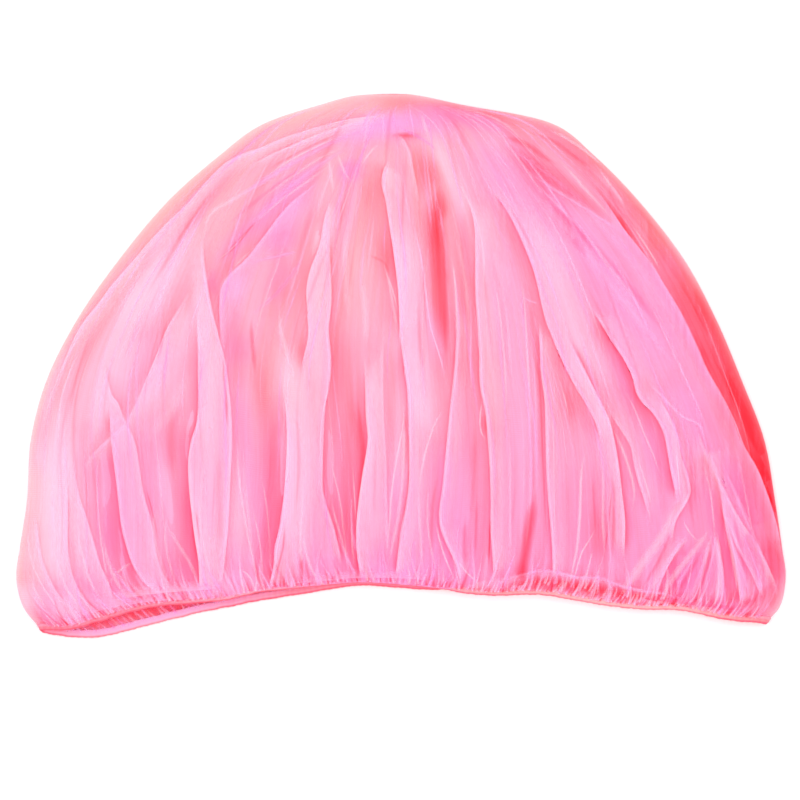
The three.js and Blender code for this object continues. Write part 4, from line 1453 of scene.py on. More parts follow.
class Nodes:
    """A node tree, with short ways to add nodes and link them."""

    def __init__(self, tree: bpy.types.NodeTree) -> None:
        """Takes the tree that the nodes go into."""
        self.tree = tree

    def node(self, kind: str, values: dict | None = None, out: object = 0,
             **settings: object) -> bpy.types.NodeSocket:
        """Adds a node.

        Args:
            kind: The node's type.
            values: What goes into its inputs, by their number or name.
            out: The number or name of the output that is wanted.
            settings: The node's properties.

        Returns:
            The wanted output.
        """
        made = self.tree.nodes.new(kind)
        for key, value in settings.items():
            setattr(made, key, value)
        for key, value in (values or {}).items():
            if isinstance(value, bpy.types.NodeSocket):
                self.tree.links.new(value, made.inputs[key])
            else:
                made.inputs[key].default_value = value
        return made.outputs[out]

    def math(self, operation: str, *values: object, clamp: bool = False) -> bpy.types.NodeSocket:
        """Adds a Math node on numbers or outputs, whose result can be kept between 0 and 1."""
        return self.node("ShaderNodeMath", dict(enumerate(values)), operation=operation,
                         use_clamp=clamp)

    def times(self, first: object, second: object) -> bpy.types.NodeSocket:
        """Multiplies two numbers."""
        return self.math("MULTIPLY", first, second)

    def plus(self, first: object, second: object) -> bpy.types.NodeSocket:
        """Adds two numbers."""
        return self.math("ADD", first, second)

    def minus(self, first: object, second: object) -> bpy.types.NodeSocket:
        """Takes one number from another."""
        return self.math("SUBTRACT", first, second)


class Tree(Nodes):
    """A Geometry Nodes tree that can be run on an object."""

    def __init__(self, name: str, **inputs: str) -> None:
        """Starts a tree.

        Args:
            name: The tree's name.
            inputs: The named inputs and their socket types.
        """
        super().__init__(bpy.data.node_groups.new(name, "GeometryNodeTree"))
        sockets = self.tree.interface
        sockets.new_socket("Geometry", in_out="INPUT", socket_type="NodeSocketGeometry")
        self.keys = {}
        for key, kind in inputs.items():
            made = sockets.new_socket(key, in_out="INPUT", socket_type=f"NodeSocket{kind}")
            self.keys[key] = made.identifier
        sockets.new_socket("Geometry", in_out="OUTPUT", socket_type="NodeSocketGeometry")
        self.input = self.tree.nodes.new("NodeGroupInput")

    def given(self, key: str) -> bpy.types.NodeSocket:
        """The output of a named input."""
        return self.input.outputs[key]

    def sum(self, first: object, second: object) -> bpy.types.NodeSocket:
        """Adds two vectors."""
        return self.node("ShaderNodeVectorMath", {0: first, 1: second}, operation="ADD")

    def scaled(self, vector: object, scale: object) -> bpy.types.NodeSocket:
        """Scales a vector."""
        return self.node("ShaderNodeVectorMath", {0: vector, "Scale": scale}, operation="SCALE")

    def vector(self, **parts: object) -> bpy.types.NodeSocket:
        """Makes a vector from its X, Y and Z."""
        return self.node("ShaderNodeCombineXYZ", parts)

    def part(self, vector: object, axis: str) -> bpy.types.NodeSocket:
        """Reads a vector's X, Y or Z."""
        return self.node("ShaderNodeSeparateXYZ", {0: vector}, out=axis)

    def below(self, value: object, level: float) -> bpy.types.NodeSocket:
        """Whether a number is below a level."""
        return self.node("FunctionNodeCompare", {0: value, 1: level}, operation="LESS_THAN")

    def named(self, name: str, kind: str = "FLOAT") -> bpy.types.NodeSocket:
        """Reads an attribute."""
        return self.node("GeometryNodeInputNamedAttribute", {"Name": name}, data_type=kind)

    def store(self, geometry: bpy.types.NodeSocket, name: str, value: bpy.types.NodeSocket,
              kind: str = "FLOAT", domain: str = "POINT") -> bpy.types.NodeSocket:
        """Writes an attribute and passes the geometry on."""
        return self.node("GeometryNodeStoreNamedAttribute",
                         {"Geometry": geometry, "Name": name, "Value": value},
                         data_type=kind, domain=domain)

    def run(self, thing: bpy.types.Object, geometry: bpy.types.NodeSocket,
            **inputs: object) -> bpy.types.Object:
        """Ends the tree, runs it on an object and keeps the result as a plain mesh.

        Args:
            thing: The object that the tree starts from, which is removed.
            geometry: The tree's last geometry.
            inputs: The values of the named inputs.

        Returns:
            The finished object, with the same name.
        """
        output = self.tree.nodes.new("NodeGroupOutput")
        real = self.node("GeometryNodeRealizeInstances", {"Geometry": geometry})
        dressed = self.node("GeometryNodeSetMaterial",
                            {"Geometry": real, "Material": self.given("Finish")})
        self.tree.links.new(dressed, output.inputs[0])
        modifier = thing.modifiers.new("nodes", "NODES")
        modifier.node_group = self.tree
        for key, value in inputs.items():
            modifier[self.keys[key]] = value
        bpy.context.view_layer.update()
        graph = bpy.context.evaluated_depsgraph_get()
        mesh = bpy.data.meshes.new_from_object(thing.evaluated_get(graph), depsgraph=graph)
        name = thing.name
        thing.modifiers.clear()
        bpy.data.objects.remove(thing)
        mesh.name = name
        return placed(name, mesh)


def curve_length(points: np.ndarray) -> float:
    """The length of a line through points."""
    return float(np.linalg.norm(np.diff(points, axis=0), axis=1).sum())


@dataclass
class LaidFolds:
    """Strips of the net's own cloth, where a pleat or pinch lays it over.

    Each follows a line, lies on the net and thins out to nothing on its inner side. Sizes are in
    mm; a swing is how far apart its levels are and how much they vary; a step is how much higher
    each strip lies than the one before.
    """

    plan: Plan
    fall: Fall
    spacing: float = 3.6
    columns: int = 6
    spread: float = 2.3
    hollow_spread: float = 1.2
    # how deep coral the hollow outside a pleat is: partly layers, partly painted shade
    hollow_pile_and_shade: float = 0.85
    # rim_width, rim_sheen and rim_bloom make the painted highlight along each pleat's edge
    rim_width: float = 4.8
    rim_sheen: float = 0.38
    rim_bloom: float = 0.15
    # the painted shadow line just outside each pleat's edge
    edge_shadow_width: float = 2.6
    edge_shadow: float = 0.2
    lift: float = 0.6
    low: float = 0.3
    high: float = 0.8
    pleat_seed: int = 700
    rim_seed: int = 300
    pleat_swing: Pair = (60, 0.22)
    rim_swing: Pair = (28, 0.6)
    pleat_step: float = 0.012
    rim_step: float = 0.01
    crease_step: float = 0.003
    strand_rim: Pair = (5, 26)
    strand_top: float = 0.9
    strand_sway: float = 1.2
    strand_waves: float = 30
    inset: float = 0.9

    @staticmethod
    def _wide(full: float, least: float, ends: np.ndarray) -> np.ndarray:
        """A strip's width in metres, from the least share of the full one at its closed ends."""
        return full * MM * (least + (1 - least) * ends)

    def pleat_paths(self, pleats: tuple[Pleat, ...]) -> Paths:
        """Lists the strips at the pleats: the cloth inside each edge, paler partly as a painted
        highlight, and the hollow outside it, deeper coral partly as painted shade.

        Args:
            pleats: The pleats.

        Returns:
            The paths.
        """
        paths = Paths()
        for number, pleat in enumerate(pleats):
            points, over, ends, swing = self._edge(pleat, self.pleat_seed + number,
                                                   self.pleat_swing)
            near = self.lift + self.pleat_step * number
            # the hollow outside the edge, deep coral: partly the layers beneath, partly painted
            # shade
            if pleat.pile > 0:
                paths.add(points, over,
                          wide=self._wide(self.hollow_spread * self.spread * pleat.depth, 0.15,
                                          ends),
                          height=(0.4 * near + self.low) * MM,
                          pile=self.hollow_pile_and_shade * pleat.pile * ends * swing)
            # the cloth inside the edge, paler: partly a painted highlight
            if pleat.sheen > 0 or pleat.bloom > 0:
                paths.add(points, -over, wide=self._wide(self.spread * pleat.reach, 0.15, ends),
                          height=near * MM, sheen=pleat.sheen * ends * swing,
                          bloom=pleat.bloom * ends * swing)
        return paths

    def line_paths(self, pleats: tuple[Pleat, ...], creases: tuple[Crease, ...],
                   strands: tuple[Strands, ...]) -> Paths:
        """Lists the thin strips: the bright edges of the pleats, the creases and the strands.

        Args:
            pleats: The pleats.
            creases: The listed creases.
            strands: The sets of fine lines along the fall.

        Returns:
            The paths.
        """
        paths = Paths()
        for number, pleat in enumerate(pleats):
            points, over, ends, swing = self._edge(pleat, self.rim_seed + number, self.rim_swing)
            step = self.rim_step * number
            # painted shadow: a thin dark line just outside each pleat's edge
            paths.add(points + over * 0.45 * self.edge_shadow_width * MM, over, shift=-0.5, even=1.0,
                      wide=self._wide(self.edge_shadow_width, 0.3, ends),
                      height=(self.lift + self.low + step) * MM,
                      pile=self.edge_shadow * min(pleat.rim, pleat.pile + 0.3) * ends * swing)
            # painted highlight: a bright line along each pleat's edge
            paths.add(points - over * 0.4 * self.rim_width * MM, -over, shift=-0.5, even=1.0,
                      wide=self._wide(self.rim_width, 0.3, ends),
                      height=(self.lift + self.high + step) * MM,
                      sheen=self.rim_sheen * pleat.rim * ends * swing,
                      bloom=self.rim_bloom * pleat.rim * ends * swing)
        for number, crease in enumerate(creases):
            points, right, share = self._along(crease.line)
            ends = taper(share, crease.start, crease.end)
            paths.add(points, right, shift=-0.5, even=1.0,
                      wide=self._wide(crease.width, 0.4, ends),
                      height=(self.lift + self.low + self.crease_step * number) * MM,
                      **{name: getattr(crease, name) * ends for name in DRESS})
        for kind in strands:
            self._add_strands(paths, kind)
        return paths

    def _add_strands(self, paths: Paths, kind: Strands) -> None:
        """Adds a set of fine lines that start near the hem or higher and follow the fall.

        Args:
            paths: The paths that they are added to.
            kind: The set.
        """
        rng = np.random.default_rng(kind.seed)
        first, last = kind.span
        tall = self.plan.left.length
        for number in range(kind.count):
            hem = first + (last - first) * (number + rng.uniform(0.0, 1.0)) / kind.count
            root, long = rng.uniform(*kind.root), rng.uniform(*kind.length) * MM / tall
            lean = rng.uniform(*kind.lean)
            wide = rng.uniform(*kind.width) * MM
            values = {name: rng.uniform(*getattr(kind, name)) for name in DRESS}
            count = max(5, int(long * tall / self.spacing / MM))
            ways = np.linspace(root, min(root + long, self.strand_top), count)
            sway = rng.uniform(0.3, 1.0) * self.strand_sway * MM * np.sin(
                ways * self.strand_waves + rng.uniform(0, 6.3))
            across = np.array([self.fall.across(np.array([hem]), way)[0] for way in ways])
            points = self.plan.place(kind.layer, across, ways)
            rim = np.minimum(across, 1 - across) * self.plan.width(ways)
            inside = smooth_step(self.strand_rim[0] * MM, self.strand_rim[1] * MM, rim)
            rel = (ways - root) / (ways[-1] - root)
            points[:, 0] += sway * np.minimum(1, rel * 3) + lean * (ways - root) * tall * inside
            right = self._right(points)
            ends = taper(rel, kind.start, kind.end) * inside
            paths.add(points, right, shift=-0.5, even=1.0, wide=wide * (0.5 + 0.5 * ends),
                      height=(self.lift + rng.uniform(0.9, 1.3)) * MM,
                      under=float(kind.layer is Layer.BACK),
                      **{name: value * ends for name, value in values.items()})

    def _edge(self, pleat: Pleat, seed: int,
              swing: Pair) -> tuple[np.ndarray, np.ndarray, np.ndarray, np.ndarray]:
        """Walks a pleat's edge.

        Args:
            pleat: The pleat.
            seed: The seed of its swing.
            swing: The swing.

        Returns:
            The edge's points in the plan, the directions out over the lower cloth, how far the
            pleat is open, and its strength, which rises and falls along it.
        """
        points, right, share = self._along(pleat.line)
        every, amount = swing
        count = max(3, int(curve_length(points) / (every * MM)) + 2)
        levels = 1 + np.random.default_rng(seed).uniform(-amount, amount, count)
        strength = np.interp(share, np.linspace(0, 1, count), levels)
        return points, right * pleat.edge.value, taper(share, pleat.start, pleat.end), strength

    def _along(self, line: tuple[Pair, ...]) -> tuple[np.ndarray, np.ndarray, np.ndarray]:
        """Walks a line at the strips' spacing.

        Args:
            line: Its points as x and depth in mm.

        Returns:
            Its points in the plan, the directions to its right and its shares.
        """
        curve = self.plan.line(line)
        share = np.linspace(0, 1, max(6, int(curve.length / self.spacing / MM)))
        points = curve.at(share)
        return points, self._right(points), share

    @staticmethod
    def _right(points: np.ndarray) -> np.ndarray:
        """The direction to the right of a line at each of its points."""
        step = np.gradient(points, axis=0)
        step /= np.linalg.norm(step, axis=1, keepdims=True)
        return to_the_right(step)

    def build(self, name: str, paths: Paths, net: bpy.types.Object,
              finish: bpy.types.Material) -> bpy.types.Object:
        """Lays the strips on the net with Geometry Nodes.

        Args:
            name: The piece's name.
            paths: The lines that the strips follow.
            net: The net that they lie on.
            finish: The cloth's material.

        Returns:
            The piece.
        """
        tree = Tree(name, Net="Object", Spacing="Float", Columns="Int", Inset="Float",
                    Finish="Material")
        strip = self._swept(tree)
        share, even = tree.named("in_from_edge"), tree.named("even")
        uneven = tree.minus(1.0, even)
        eased = tree.math("POWER", share, tree.minus(1.6, tree.times(even, 0.6)))
        reach = tree.times(tree.named("wide"), tree.plus(eased, tree.named("shift")))
        aside = tree.named("aside", "FLOAT_VECTOR")
        flat = tree.sum(tree.named("spot", "FLOAT_VECTOR"), tree.scaled(aside, reach))
        inset = tree.times(tree.given("Inset"), uneven)
        strip = self._landed(tree, strip, tree.sum(flat, tree.scaled(aside, inset)))
        top = tree.node("GeometryNodeBlurAttribute", {0: tree.named("top"), "Iterations": 4},
                        data_type="FLOAT")
        place = tree.vector(X=tree.part(flat, "X"), Y=tree.part(flat, "Y"),
                            Z=tree.plus(top, tree.named("height")))
        rest = tree.minus(1.0, share)
        bell = tree.times(tree.times(share, 4.0), rest)
        strength = tree.plus(tree.times(bell, even),
                             tree.times(tree.math("POWER", rest, 1.5), uneven))
        for value in (*DRESS, "ground"):
            strip = tree.store(strip, value, tree.times(tree.named(value), strength))
        strip = tree.node("GeometryNodeSetPosition", {"Geometry": strip, "Position": place})
        turned = tree.part(tree.node("GeometryNodeInputNormal"), "Z")
        strip = tree.node("GeometryNodeFlipFaces",
                          {"Mesh": strip, "Selection": tree.below(turned, 0.0)})
        spot = tree.node("GeometryNodeInputPosition")
        for map_name in ("knit", "gather"):
            strip = tree.store(strip, map_name, spot, "FLOAT2", "CORNER")
        strip = tree.node("GeometryNodeSetShadeSmooth", {"Geometry": strip})
        made = tree.run(placed(name, paths.mesh(name)), strip, Net=net,
                        Spacing=self.spacing * MM, Columns=self.columns, Inset=self.inset * MM,
                        Finish=finish)
        for spare in ("spot", "in_from_edge", "aside", "hit", "top", *Paths.GUIDES):
            left_over = made.data.attributes.get(spare)
            if left_over:
                made.data.attributes.remove(left_over)
        return made

    @staticmethod
    def _swept(tree: Tree) -> bpy.types.NodeSocket:
        """Sweeps a section along the lines, which the tree's next nodes spread out.

        Args:
            tree: The tree.

        Returns:
            The strips, each still as narrow as its line.
        """
        line = tree.node("GeometryNodeMeshToCurve", {0: tree.given("Geometry")})
        line = tree.node("GeometryNodeResampleCurve",
                         {"Curve": line, "Length": tree.given("Spacing")}, mode="LENGTH")
        line = tree.store(line, "spot", tree.node("GeometryNodeInputPosition"), "FLOAT_VECTOR")
        section = tree.node("GeometryNodeCurvePrimitiveLine",
                            {"Start": (0, 0, 0), "End": (0.001, 0, 0)}, mode="POINTS")
        section = tree.node("GeometryNodeResampleCurve",
                            {"Curve": section, "Count": tree.given("Columns")}, mode="COUNT")
        section = tree.store(section, "in_from_edge",
                             tree.node("GeometryNodeSplineParameter", out="Factor"))
        return tree.node("GeometryNodeCurveToMesh", {"Curve": line, "Profile Curve": section})

    @staticmethod
    def _landed(tree: Tree, strip: bpy.types.NodeSocket,
                tested: bpy.types.NodeSocket) -> bpy.types.NodeSocket:
        """Finds the net under or over each point, and drops the points beyond its edge.

        Args:
            tree: The tree.
            strip: The strips.
            tested: The places in the plan where the net has to be.

        Returns:
            The strips, with the net's height there as the attribute top.
        """
        side = tree.minus(1.0, tree.times(tree.named("under"), 2.0))
        hit = tree.node("GeometryNodeRaycast", {
            "Target Geometry": tree.node("GeometryNodeObjectInfo",
                                         {"Object": tree.given("Net")}, out="Geometry"),
            "Source Position": tree.sum(tested, tree.vector(Z=tree.times(side, 0.3))),
            "Ray Direction": tree.vector(Z=tree.times(side, -1.0)),
            "Attribute": tree.named("layer"), "Ray Length": 1.0}, out="Is Hit")
        ray = hit.node.outputs
        other = tree.math("ABSOLUTE", tree.minus(ray["Attribute"], tree.named("under")))
        strip = tree.store(strip, "hit", tree.times(hit, tree.math("LESS_THAN", other, 0.5)))
        strip = tree.store(strip, "top", tree.part(ray["Hit Position"], "Z"))
        return tree.node("GeometryNodeDeleteGeometry",
                         {"Geometry": strip, "Selection": tree.below(tree.named("hit"), 0.5)})


# ---------- The elastic binding ----------


@dataclass(frozen=True)
class SectionPoint:
    """A point of the binding's section, in mm: beyond the net's edge, and out of the fold."""

    beyond: float
    out: float


@dataclass(frozen=True)
class RollRow:
    """How far the binding is rolled under at an x from the crest, in mm, and how it looks."""

    x: float
    roll: float
    deep: float
    pale: float


@dataclass
class ElasticBinding:
    """The folded strip over the elastic, sewn round the net's edge in one closed loop.

    Sizes are in mm, but length and girth are in metres, for the strip's map. under and inward are
    how far a fully rolled strip goes under the net and in, and wander the uneven part of its
    puckers, as sizes and lengths.
    """

    plan: Plan
    section: tuple[SectionPoint, ...] = table(
        SectionPoint, (-3.6, 0.45), (-3.2, 1.2), (-1.7, 0.95), (-0.4, 1.5), (1.4, 1.75),
        (3.1, 1.5), (4.1, 0.85), (4.4, 0), (4.1, -0.85), (3.1, -1.5), (1.4, -1.75), (-0.4, -1.5),
        (-1.7, -0.95), (-3.2, -1.2), (-3.6, -0.45),
    )
    front_rolls: tuple[RollRow, ...] = table(
        RollRow, (-370, 0.5, 0.8, 0.1), (-330, 0.5, 0.8, 0.2), (-240, 0.5, 0.7, 0.2),
        (-190, 0.6, 0.4, 0.3), (-130, 0.8, 0.35, 0.4), (-40, 1, 0.35, 0.4), (45, 1, 0.35, 0.3),
        (70, 0.5, 0.35, 0.1), (130, 0.4, 0.25, 0), (200, 0.4, 0.05, 0), (300, 0.4, 0.1, 0),
        (380, 0.3, 0.7, 0),
    )
    back_rolls: tuple[RollRow, ...] = table(
        RollRow, (-370, 0, 0.5, 0.4), (-320, 0, 0.1, 0.9), (-230, 0, 0, 1), (-170, 0, 0.4, 0.7),
        (-110, 0.2, 0.6, 0.3), (90, 0.2, 0.6, 0.4), (140, 0, 0.8, 0.3), (300, 0, 0.8, 0.3),
        (380, 0, 0.9, 0),
    )
    steps: int = 920
    under: float = 2.4
    inward: float = 2.0
    slim: float = 0.35
    pucker: float = 6.3
    seam_at: int = 2
    seed: int = 21
    levels: int = 260
    wander: tuple[Pair, ...] = ((0.9, 31), (0.5, 13.7))
    tip: float = 7
    clearance: float = 0.1
    length: float = 1.51
    girth: float = 0.02
    stitch: float = 2.1
    stitch_gap: float = 1.0
    thread: float = 0.2
    seam: np.ndarray = field(init=False)
    seam_out: np.ndarray = field(init=False)

    def path(self, net: Net) -> tuple[np.ndarray, np.ndarray, np.ndarray, np.ndarray, np.ndarray]:
        """Walks the net's edge once round in even steps.

        Args:
            net: The net, already folded.

        Returns:
            The places, the directions beyond the edge and out of the fold, how far round each
            place is in mm, and whether it is on the back layer.
        """
        hem, above = net.hem, net.above
        closed = np.vstack([hem, hem[:1]])
        walked = np.concatenate([[0], np.cumsum(np.linalg.norm(np.diff(closed, axis=0), axis=1))])
        walk = np.linspace(0, walked[-1], self.steps, endpoint=False)

        def look(values: np.ndarray) -> np.ndarray:
            """Reads values at the even steps."""
            ring = np.vstack([values, values[:1]])
            return np.stack([np.interp(walk, walked, ring[:, k]) for k in range(ring.shape[1])], 1)

        places = look(hem)
        beyond = self._even(look(hem) - look(above), 5)
        tangent = self._even(np.roll(places, -1, 0) - np.roll(places, 1, 0), 2)
        out = self._even(np.cross(beyond, tangent), 3)
        beyond = np.cross(tangent, out)
        beyond /= np.linalg.norm(beyond, axis=1, keepdims=True)
        back = look(net.hem_back[:, None].astype(float))[:, 0]
        return places, beyond, out, walk / MM, back

    @staticmethod
    def _even(vectors: np.ndarray, passes: int) -> np.ndarray:
        """Smooths directions round the loop and makes them one long."""
        for _ in range(passes):
            vectors = vectors / np.linalg.norm(vectors, axis=1, keepdims=True)
            vectors = (np.roll(vectors, 1, 0) + 2 * vectors + np.roll(vectors, -1, 0)) / 4
        return vectors / np.linalg.norm(vectors, axis=1, keepdims=True)

    def _rolls(self, places: np.ndarray, back: np.ndarray, name: str) -> np.ndarray:
        """Looks up a column of the roll rows.

        Args:
            places: Places on the net's edge.
            back: The share of the back layer in each.
            name: The column.

        Returns:
            The values, eased from one layer to the other at the tips.
        """
        across = (places[:, 0] - self.plan.crest[0]) / MM
        values = [np.interp(across, [row.x for row in rows], [getattr(row, name) for row in rows])
                  for rows in (self.front_rolls, self.back_rolls)]
        return values[0] * (1 - back) + values[1] * back

    def build(self, net: Net) -> bpy.types.Object:
        """Sweeps the section round the edge, puckered by the elastic.

        Args:
            net: The net, already folded.

        Returns:
            The binding's object.
        """
        places, beyond, out, walk, back = self.path(net)
        roll = self._rolls(places, back, "roll")
        rng = np.random.default_rng(self.seed)
        phase = sum(size * np.sin(walk / every) for size, every in self.wander)
        wave = np.sin(2 * np.pi * np.round(walk[-1] / self.pucker) * walk / walk[-1] + phase)
        fine = np.interp(walk, np.linspace(0, walk[-1], self.levels),
                         rng.uniform(-1, 1, self.levels))
        tip = np.exp(-((places[:, 0] - places[:, 0].max()) / (self.tip * MM)) ** 2)
        inner = self.section[0].beyond
        broad = max(point.beyond for point in self.section) - inner
        rings = []
        for point in self.section:
            free = (point.beyond - inner) / broad
            step = (point.beyond * (1 - self.slim * roll) - self.inward * roll
                    + 0.3 * free * (wave * 0.4 + fine) + 0.9 * tip * free)
            rise = (point.out * (1 + 0.08 * wave + 0.1 * fine + 0.25 * tip)
                    - self.under * roll * (1 - 0.25 * free) + 0.1 * wave * (1 - free))
            ring = places + beyond * (step * MM)[:, None] + out * (rise * MM)[:, None]
            rings.append(ring)
        self.seam = rings[self.seam_at]
        self.seam_out = out
        count = len(self.section)
        points = np.stack(rings, 1).reshape(-1, 3)
        points[:, 2] = np.maximum(points[:, 2], self.clearance * MM)
        faces = []
        for row in range(self.steps):
            low, top = row * count, ((row + 1) % self.steps) * count
            faces += [(low + k, low + (k + 1) % count, top + (k + 1) % count, top + k)
                      for k in range(count)]
        mesh = skin("elastic_strip", points, faces)
        self._dress(mesh, places, back, wave)
        mesh.update()
        return placed("elastic_strip", mesh)

    def _dress(self, mesh: bpy.types.Mesh, places: np.ndarray, back: np.ndarray,
               wave: np.ndarray) -> None:
        """Stores how deep and pale the strip is, with painted shade towards its outer edge and on
        the puckers and a painted highlight along its top, and its map along and round.

        Args:
            mesh: The strip's mesh.
            places: The places on the net's edge.
            back: The share of the back layer in each.
            wave: The puckers.
        """
        beyond = np.array([point.beyond for point in self.section])
        # painted shade: the strip is darker towards its outer edge, where its section turns down
        edge = smooth_step(2.0, 3.6, beyond)[None]
        # painted highlight along the top of the strip
        top = np.exp(-((beyond + 2.6) / 1.3) ** 2)[None]
        deep = self._rolls(places, back, "deep")[:, None]
        pale = self._rolls(places, back, "pale")[:, None]
        # the puckers are painted lighter and darker with the wave, as shade
        full = deep + 0.75 * edge + 0.05 * wave[:, None] - 0.35 * top * (1 - back[:, None])
        light = pale * (1 - edge) + 0.35 * top - 0.05 * wave[:, None]
        for name, values in (("deep", full), ("pale", light)):
            store(mesh, name, np.clip(values, 0, 1))
        count = len(self.section)
        along = np.arange(self.steps).repeat(count) / self.steps * self.length
        round_it = np.tile(np.arange(count) / count * self.girth, self.steps)
        map_out(mesh, "strip", np.stack([along, round_it], 1))

    def sew(self, finish: bpy.types.Material) -> bpy.types.Object:
        """Sews the row of stitches that closes the strip, with Geometry Nodes.

        Args:
            finish: The thread's material.

        Returns:
            The row of stitches.
        """
        seam = self.seam + self.seam_out * 0.08 * MM
        mesh = bpy.data.meshes.new("hem_stitches")
        count = len(seam)
        mesh.from_pydata(seam.tolist(), [(k, (k + 1) % count) for k in range(count)], [])
        tree = Tree("hem_stitches", Step="Float", Length="Float", Thread="Float",
                    Finish="Material")
        line = tree.node("GeometryNodeMeshToCurve", {0: tree.given("Geometry")})
        line = tree.node("GeometryNodeResampleCurve", {"Curve": line, "Length": tree.given("Step")},
                         mode="LENGTH")
        turned = tree.node("FunctionNodeAlignRotationToVector", {
            "Vector": tree.node("GeometryNodeInputTangent")}, axis="X")
        wander = tree.node("FunctionNodeRandomValue", {2: -0.14, 3: 0.14, "Seed": 5}, out=1,
                           data_type="FLOAT")
        turned = tree.node("FunctionNodeRotateRotation", {
            "Rotation": turned, "Rotate By": tree.node("FunctionNodeAxisAngleToRotation", {
                "Axis": (0, 0, 1), "Angle": wander})}, rotation_space="LOCAL")
        half = tree.times(tree.given("Length"), 0.5)
        bow = tree.times(tree.given("Thread"), 0.9)
        stitch = tree.node("GeometryNodeCurveQuadraticBezier", {
            "Resolution": 4,
            "Start": tree.vector(X=tree.times(half, -1.0)),
            "Middle": tree.vector(Z=bow), "End": tree.vector(X=half)})
        around = tree.node("GeometryNodeCurvePrimitiveCircle",
                           {"Resolution": 5, "Radius": tree.given("Thread")}, mode="RADIUS")
        stitch = tree.node("GeometryNodeCurveToMesh", {
            "Curve": stitch, "Profile Curve": around, "Fill Caps": True})
        row = tree.node("GeometryNodeInstanceOnPoints", {
            "Points": tree.node("GeometryNodeCurveToPoints", {"Curve": line}, mode="EVALUATED"),
            "Instance": stitch, "Rotation": turned})
        row = tree.node("GeometryNodeRealizeInstances", {"Geometry": row})
        row = tree.node("GeometryNodeSetShadeSmooth", {"Geometry": row})
        return tree.run(placed("hem_stitches", mesh), row, Finish=finish,
                        Step=(self.stitch + self.stitch_gap) * MM,
                        Length=self.stitch * MM, Thread=self.thread * MM)


# ---------- Finishes ----------


class Shading(Nodes):
    """A material's node tree."""

    def __init__(self, name: str) -> None:
        """Starts an empty material.

        Args:
            name: The material's name.
        """
        self.material = bpy.data.materials.new(name)
        self.material.use_nodes = True
        super().__init__(self.material.node_tree)
        self.tree.nodes.clear()

    def attribute(self, name: str) -> bpy.types.NodeSocket:
        """Reads one of the piece's attributes as a number."""
        return self.node("ShaderNodeAttribute", out="Fac", attribute_name=name)

    def uv(self, name: str, stretch: tuple[float, float, float]) -> bpy.types.NodeSocket:
        """Reads a UV map, stretched along each axis."""
        source = self.node("ShaderNodeUVMap", uv_map=name)
        return self.node("ShaderNodeMapping", {"Vector": source, "Scale": stretch})

    def noise(self, vector: bpy.types.NodeSocket, roughness: float = 0.5) -> bpy.types.NodeSocket:
        """Adds a noise that varies about 0, from about -0.5 to 0.5."""
        made = self.node("ShaderNodeTexNoise", {
            "Vector": vector, "Scale": 1.0, "Detail": 2.0, "Roughness": roughness,
        }, out="Fac", noise_dimensions="2D")
        return self.minus(made, 0.5)

    def blend(self, share: object, first: object, second: Colour) -> bpy.types.NodeSocket:
        """Goes from a colour or output to another colour."""
        return self.node("ShaderNodeMix", {0: share, 6: first, 7: (*second, 1)}, out=2,
                         data_type="RGBA")

    def mixed(self, share: object, first: bpy.types.NodeSocket,
              second: bpy.types.NodeSocket) -> bpy.types.NodeSocket:
        """Mixes two shaders."""
        return self.node("ShaderNodeMixShader", {0: share, 1: first, 2: second})

    def finish(self, surface: bpy.types.NodeSocket) -> bpy.types.Material:
        """Links the surface to the output.

        Args:
            surface: The last shader.

        Returns:
            The material.
        """
        output = self.tree.nodes.new("ShaderNodeOutputMaterial")
        self.tree.links.new(surface, output.inputs["Surface"])
        return self.material


